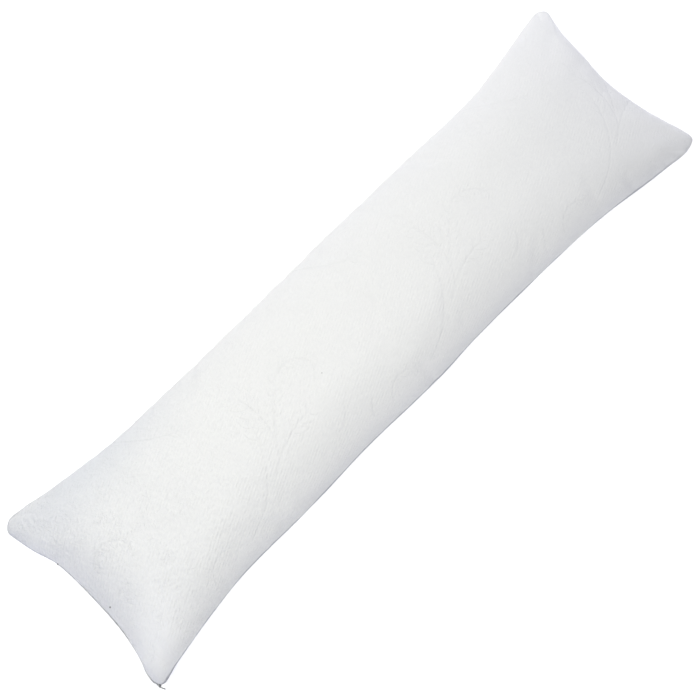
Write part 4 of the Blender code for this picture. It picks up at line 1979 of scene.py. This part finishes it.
@dataclass
class ZipSlider:
    """The slider beside the ear's tip: a flared box with a channel, under a bridge.

    Its own X runs to the chain, Y off the pillow and Z up, from the seam. Its inner
    side lies a little way in, between the two edges of the cover. The channel's share is
    of the length, from each end, and a slit is sunk where a face lies further out than
    its share of the tail.
    """

    route: ZipRoute
    gap: float = -0.0020
    length: float = 0.0105
    depth: float = 0.0030
    nose: float = 0.0072
    tail: float = 0.0052
    bevel: float = 0.0006
    wall: float = 0.0008
    channel_share: float = 0.4
    slit_from: float = 0.45
    bridge_length: float = 0.0056
    bridge_width: float = 0.0024
    bridge_height: float = 0.0015
    bridge_steps: int = 12
    strap: float = 0.0009
    strap_sides: int = 8
    finish: MetalFinish = MetalFinish(colour=(0.19, 0.195, 0.20, 1.0),
                                      rubbed_colour=(0.78, 0.78, 0.77, 1.0))

    def build(self) -> "ZipSlider":
        """Make the slider.

        Returns:
            The slider, so that calls can be strung together.
        """
        body = self._body().take_in(self._bridge())
        body.dress(self.finish.material("zip_slider_nickel"), "zip_metal")
        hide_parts("zip_slider")
        return self

    def _body(self) -> Workpiece:
        """Make the flared box, open at both ends, with a slit above and below.

        Returns:
            The box, in its place.
        """
        end = self.length / 2
        middle = self.gap + self.depth / 2
        work = block("zip_slider_body", (0.0, middle, 0.0), (self.length, self.depth, self.nose))
        work.pick(lambda face: face.normal.x > MOSTLY)
        work.scale(1.0, 1.0, self.tail / self.nose, (end, middle, 0.0))
        work.pick_edges(lambda edge: True).bevel(self.bevel, 2)
        for toward in (1, -1):
            work.pick(lambda face: face.normal.x * toward > SQUARELY).inset(self.wall)
            work.draw_out(-toward * self.length * self.channel_share, 0.0, 0.0)
        work.pick(lambda face: abs(face.normal.z) > SQUARELY
                  and face.calc_area() > self.wall**2 * 4
                  and abs(face.calc_center_median().z) > self.tail * self.slit_from)
        work.inset(self.wall, -self.wall / 2, use_individual=True)
        return work.clean().place(self.route.slider_stance())

    def _bridge(self) -> Workpiece:
        """Make the arched strap that the pull hangs from.

        Returns:
            The strap, in its place.
        """
        foot = self.gap + self.depth - self.strap / 4
        reach = (self.bridge_length - self.strap) / 2
        centre = (0.0, foot, 0.0)
        work = ring("bridge", (-reach, foot, 0.0), self.strap / 2, self.strap_sides, QUARTER_X,
                    fill_type="NGON")
        work.pick(lambda face: True)
        work.spin(self.bridge_steps, math.pi, centre, (0.0, 0.0, 1.0))
        rise = (self.bridge_height + self.strap / 4) / (reach + self.strap / 2)
        work.clean().scale(1.0, rise, self.bridge_width / self.strap, centre)
        return work.place(self.route.slider_stance())


@dataclass
class ZipPull:
    """The pull: a tab on edge with a sunk face and a round end, and the link that holds it."""

    slider: ZipSlider
    forward: float = 0.0030
    reach: float = 0.0022
    heading: float = -65.0
    dip: float = 12.0
    length: float = 0.0120
    width: float = 0.0042
    thickness: float = 0.0018
    eye: float = 0.0030
    rim: float = 0.0007
    free_round: float = 0.46
    root_round: float = 0.25
    round_steps: int = 5
    wire: float = 0.00032
    wire_sides: int = 6
    link_steps: int = 14

    def build(self) -> "ZipPull":
        """Make the pull.

        Returns:
            The pull, so that calls can be strung together.
        """
        tab = self._tab().take_in(self._link())
        tab.dress(MetalFinish().material("zip_pull_nickel"), "zip_metal")
        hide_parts("zip_pull")
        return self

    def _stance(self) -> Matrix:
        """The tab's own axes: X to its free end, Y through it, from its root.

        Returns:
            Their matrix.
        """
        heading, dip = math.radians(self.heading), math.radians(self.dip)
        run = Vector((math.cos(heading) * math.cos(dip), math.sin(heading) * math.cos(dip),
                      -math.sin(dip)))
        through = Vector((-math.sin(heading), math.cos(heading), 0.0))
        root = self.slider.route.slider_stance() @ Vector((-self.forward, self.reach, 0.0))
        axes = Matrix((run, through, run.cross(through))).transposed().to_4x4()
        return Matrix.Translation(root) @ axes

    def _tab(self) -> Workpiece:
        """Make the tab, with an eye through its root and both faces sunk.

        Returns:
            The tab, in its place.
        """
        work = block("zip_pull_tab", (self.length / 2, 0.0, 0.0),
                     (self.length, self.thickness, self.width))
        work.pick(lambda face: True)
        bpy.ops.mesh.bisect(plane_co=(self.eye, 0.0, 0.0), plane_no=(1.0, 0.0, 0.0))
        for end, share in ((self.length, self.free_round), (0.0, self.root_round)):
            work.pick_edges(lambda edge: all(abs(vertex.co.x - end) < MILLIMETRE / 10
                                             for vertex in edge.verts)
                            and abs(edge.verts[0].co.y - edge.verts[1].co.y) > self.thickness / 2)
            work.bevel(self.width * share, self.round_steps)
        work.pick(lambda face: abs(face.normal.y) > MOSTLY
                  and face.calc_center_median().x < self.eye).inset(self.rim)
        bpy.ops.mesh.bridge_edge_loops()
        work.pick(lambda face: abs(face.normal.y) > MOSTLY
                  and face.calc_center_median().x > self.eye)
        return work.inset(self.rim, -self.thickness / 5).clean().place(self._stance())

    def _link(self) -> Workpiece:
        """Make the small oval link between the bridge and the tab's eye.

        Returns:
            The link, in its place.
        """
        slider = self.slider
        centre = (-self.forward, self.reach - self.rim, 0.0)
        tall, deep = slider.bridge_width / 2 + 2 * self.wire, self.rim + 2 * self.wire
        work = ring("link", (centre[0], centre[1], tall), self.wire, self.wire_sides, QUARTER_X)
        work.pick_edges(lambda edge: True)
        work.spin(self.link_steps, 2 * math.pi, centre, (1.0, 0.0, 0.0))
        work.clean().scale(1.0, deep / tall, 1.0, centre)
        return work.place(slider.route.slider_stance())


# --- The studio ----------------------------------------------------------------------

class SoftBox(NamedTuple):
    """A square light: where its middle is, and the length of its sides."""

    name: str
    place: tuple
    size: float
    watts: float
    colour: tuple


@dataclass
class Studio:
    """Plain floor, soft light, and the camera that looks down along the pillow."""

    aim: tuple = (-0.0461, -0.0108, 0.075)
    elevation: float = 76.0
    turned: float = 45.441
    distance: float = 2.5
    lens: float = 71.23
    sensor_width: float = 36.0
    clip: tuple = (0.05, 60.0)
    light_aim: tuple = (0.0, 0.0, 0.08)
    floor_size: float = 16.0
    floor_gap: float = 0.0002
    boxes: tuple = table(
        SoftBox,
        ("top_box", (-0.55, 0.25, 1.9), 1.6, 25.4, (1.0, 0.996, 0.861)),
        ("key_box", (1.6, 2.2, 1.7), 1.8, 47.2, (0.907, 0.912, 1.0)),
        ("cool_box", (-1.35, 0.10, 0.60), 0.7, 0.75, (0.02, 0.15, 1.0)),
    )
    room_strength: float = 0.787
    room_colour: tuple = (0.887, 0.896, 1.0, 1.0)

    def build(self) -> None:
        """Make the camera, the floor and the lights."""
        self._camera()
        self._floor()
        self._lights()

    def _hang(self, name: str, data: bpy.types.ID, place: Vector,
              look: Vector) -> bpy.types.Object:
        """Put a new camera or light at a place, so that it looks in a direction.

        Args:
            name: of the object.
            data: of the camera or light.
            place: where it hangs.
            look: direction that it looks in.
        Returns:
            The object.
        """
        made = bring_in(name, data)
        made.location = place
        made.rotation_mode = "QUATERNION"
        made.rotation_quaternion = look.to_track_quat("-Z", "Y")
        return made

    def _camera(self) -> None:
        """Place the camera by its angles about the point that it looks at."""
        high, round_z = math.radians(self.elevation), math.radians(self.turned)
        back = Vector((-math.cos(high) * math.sin(round_z), -math.cos(high) * math.cos(round_z),
                       math.sin(high)))
        data = bpy.data.cameras.new("camera")
        data.lens = self.lens
        data.sensor_width = self.sensor_width
        data.clip_start, data.clip_end = self.clip
        place = Vector(self.aim) + back * self.distance
        bpy.context.scene.camera = self._hang("camera", data, place, -back)

    def _floor(self) -> None:
        """Lay the floor just under the pillow's flat strip."""
        bpy.ops.mesh.primitive_plane_add(size=self.floor_size,
                                         location=(0.0, 0.0, -self.floor_gap))
        floor = bpy.context.object
        floor.name = "floor"
        floor.data.materials.append(FloorFinish().material("floor_paint"))
        floor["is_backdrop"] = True

    def _area(self, box: SoftBox) -> None:
        """Hang one soft box that looks at the pillow's middle.

        Args:
            box: that is hung.
        """
        data = bpy.data.lights.new(box.name, "AREA")
        data.shape = "SQUARE"
        data.size, data.energy, data.color = box.size, box.watts, box.colour
        place = Vector(box.place)
        self._hang(box.name, data, place, Vector(self.light_aim) - place)

    def _lights(self) -> None:
        """Set up the soft boxes, and the room round them, brightest on the right."""
        for box in self.boxes:
            self._area(box)
        world = bpy.data.worlds.new("room")
        bpy.context.scene.world = world
        world.use_nodes = True
        nodes, links = world.node_tree.nodes, world.node_tree.links
        room = nodes["Background"]
        room.inputs["Color"].default_value = self.room_colour
        heading = nodes.new("ShaderNodeTexCoord")
        axes = nodes.new("ShaderNodeSeparateXYZ")
        share = nodes.new("ShaderNodeMath")
        share.operation = "MULTIPLY_ADD"
        share.inputs[1].default_value = -self.room_strength / 2
        share.inputs[2].default_value = self.room_strength / 2
        links.new(heading.outputs["Generated"], axes.inputs["Vector"])
        links.new(axes.outputs["Y"], share.inputs[0])
        links.new(share.outputs["Value"], room.inputs["Strength"])
        bpy.context.scene.view_settings.view_transform = "Standard"
        bpy.context.scene.view_settings.look = "None"


def main() -> None:
    """Build the studio and the pillow, and report each piece."""
    logging.basicConfig(level=logging.INFO, format="%(name)s: %(message)s")
    Studio().build()
    cover = Cover().build()
    cover.dress()
    route = ZipRoute(cover.form, cover.move)
    ZipChain(route).build()
    ZipPull(ZipSlider(route).build()).build()
    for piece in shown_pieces():
        log.info("%s has %d faces", piece.name, len(piece.data.polygons))


if __name__ == "__main__":
    main()
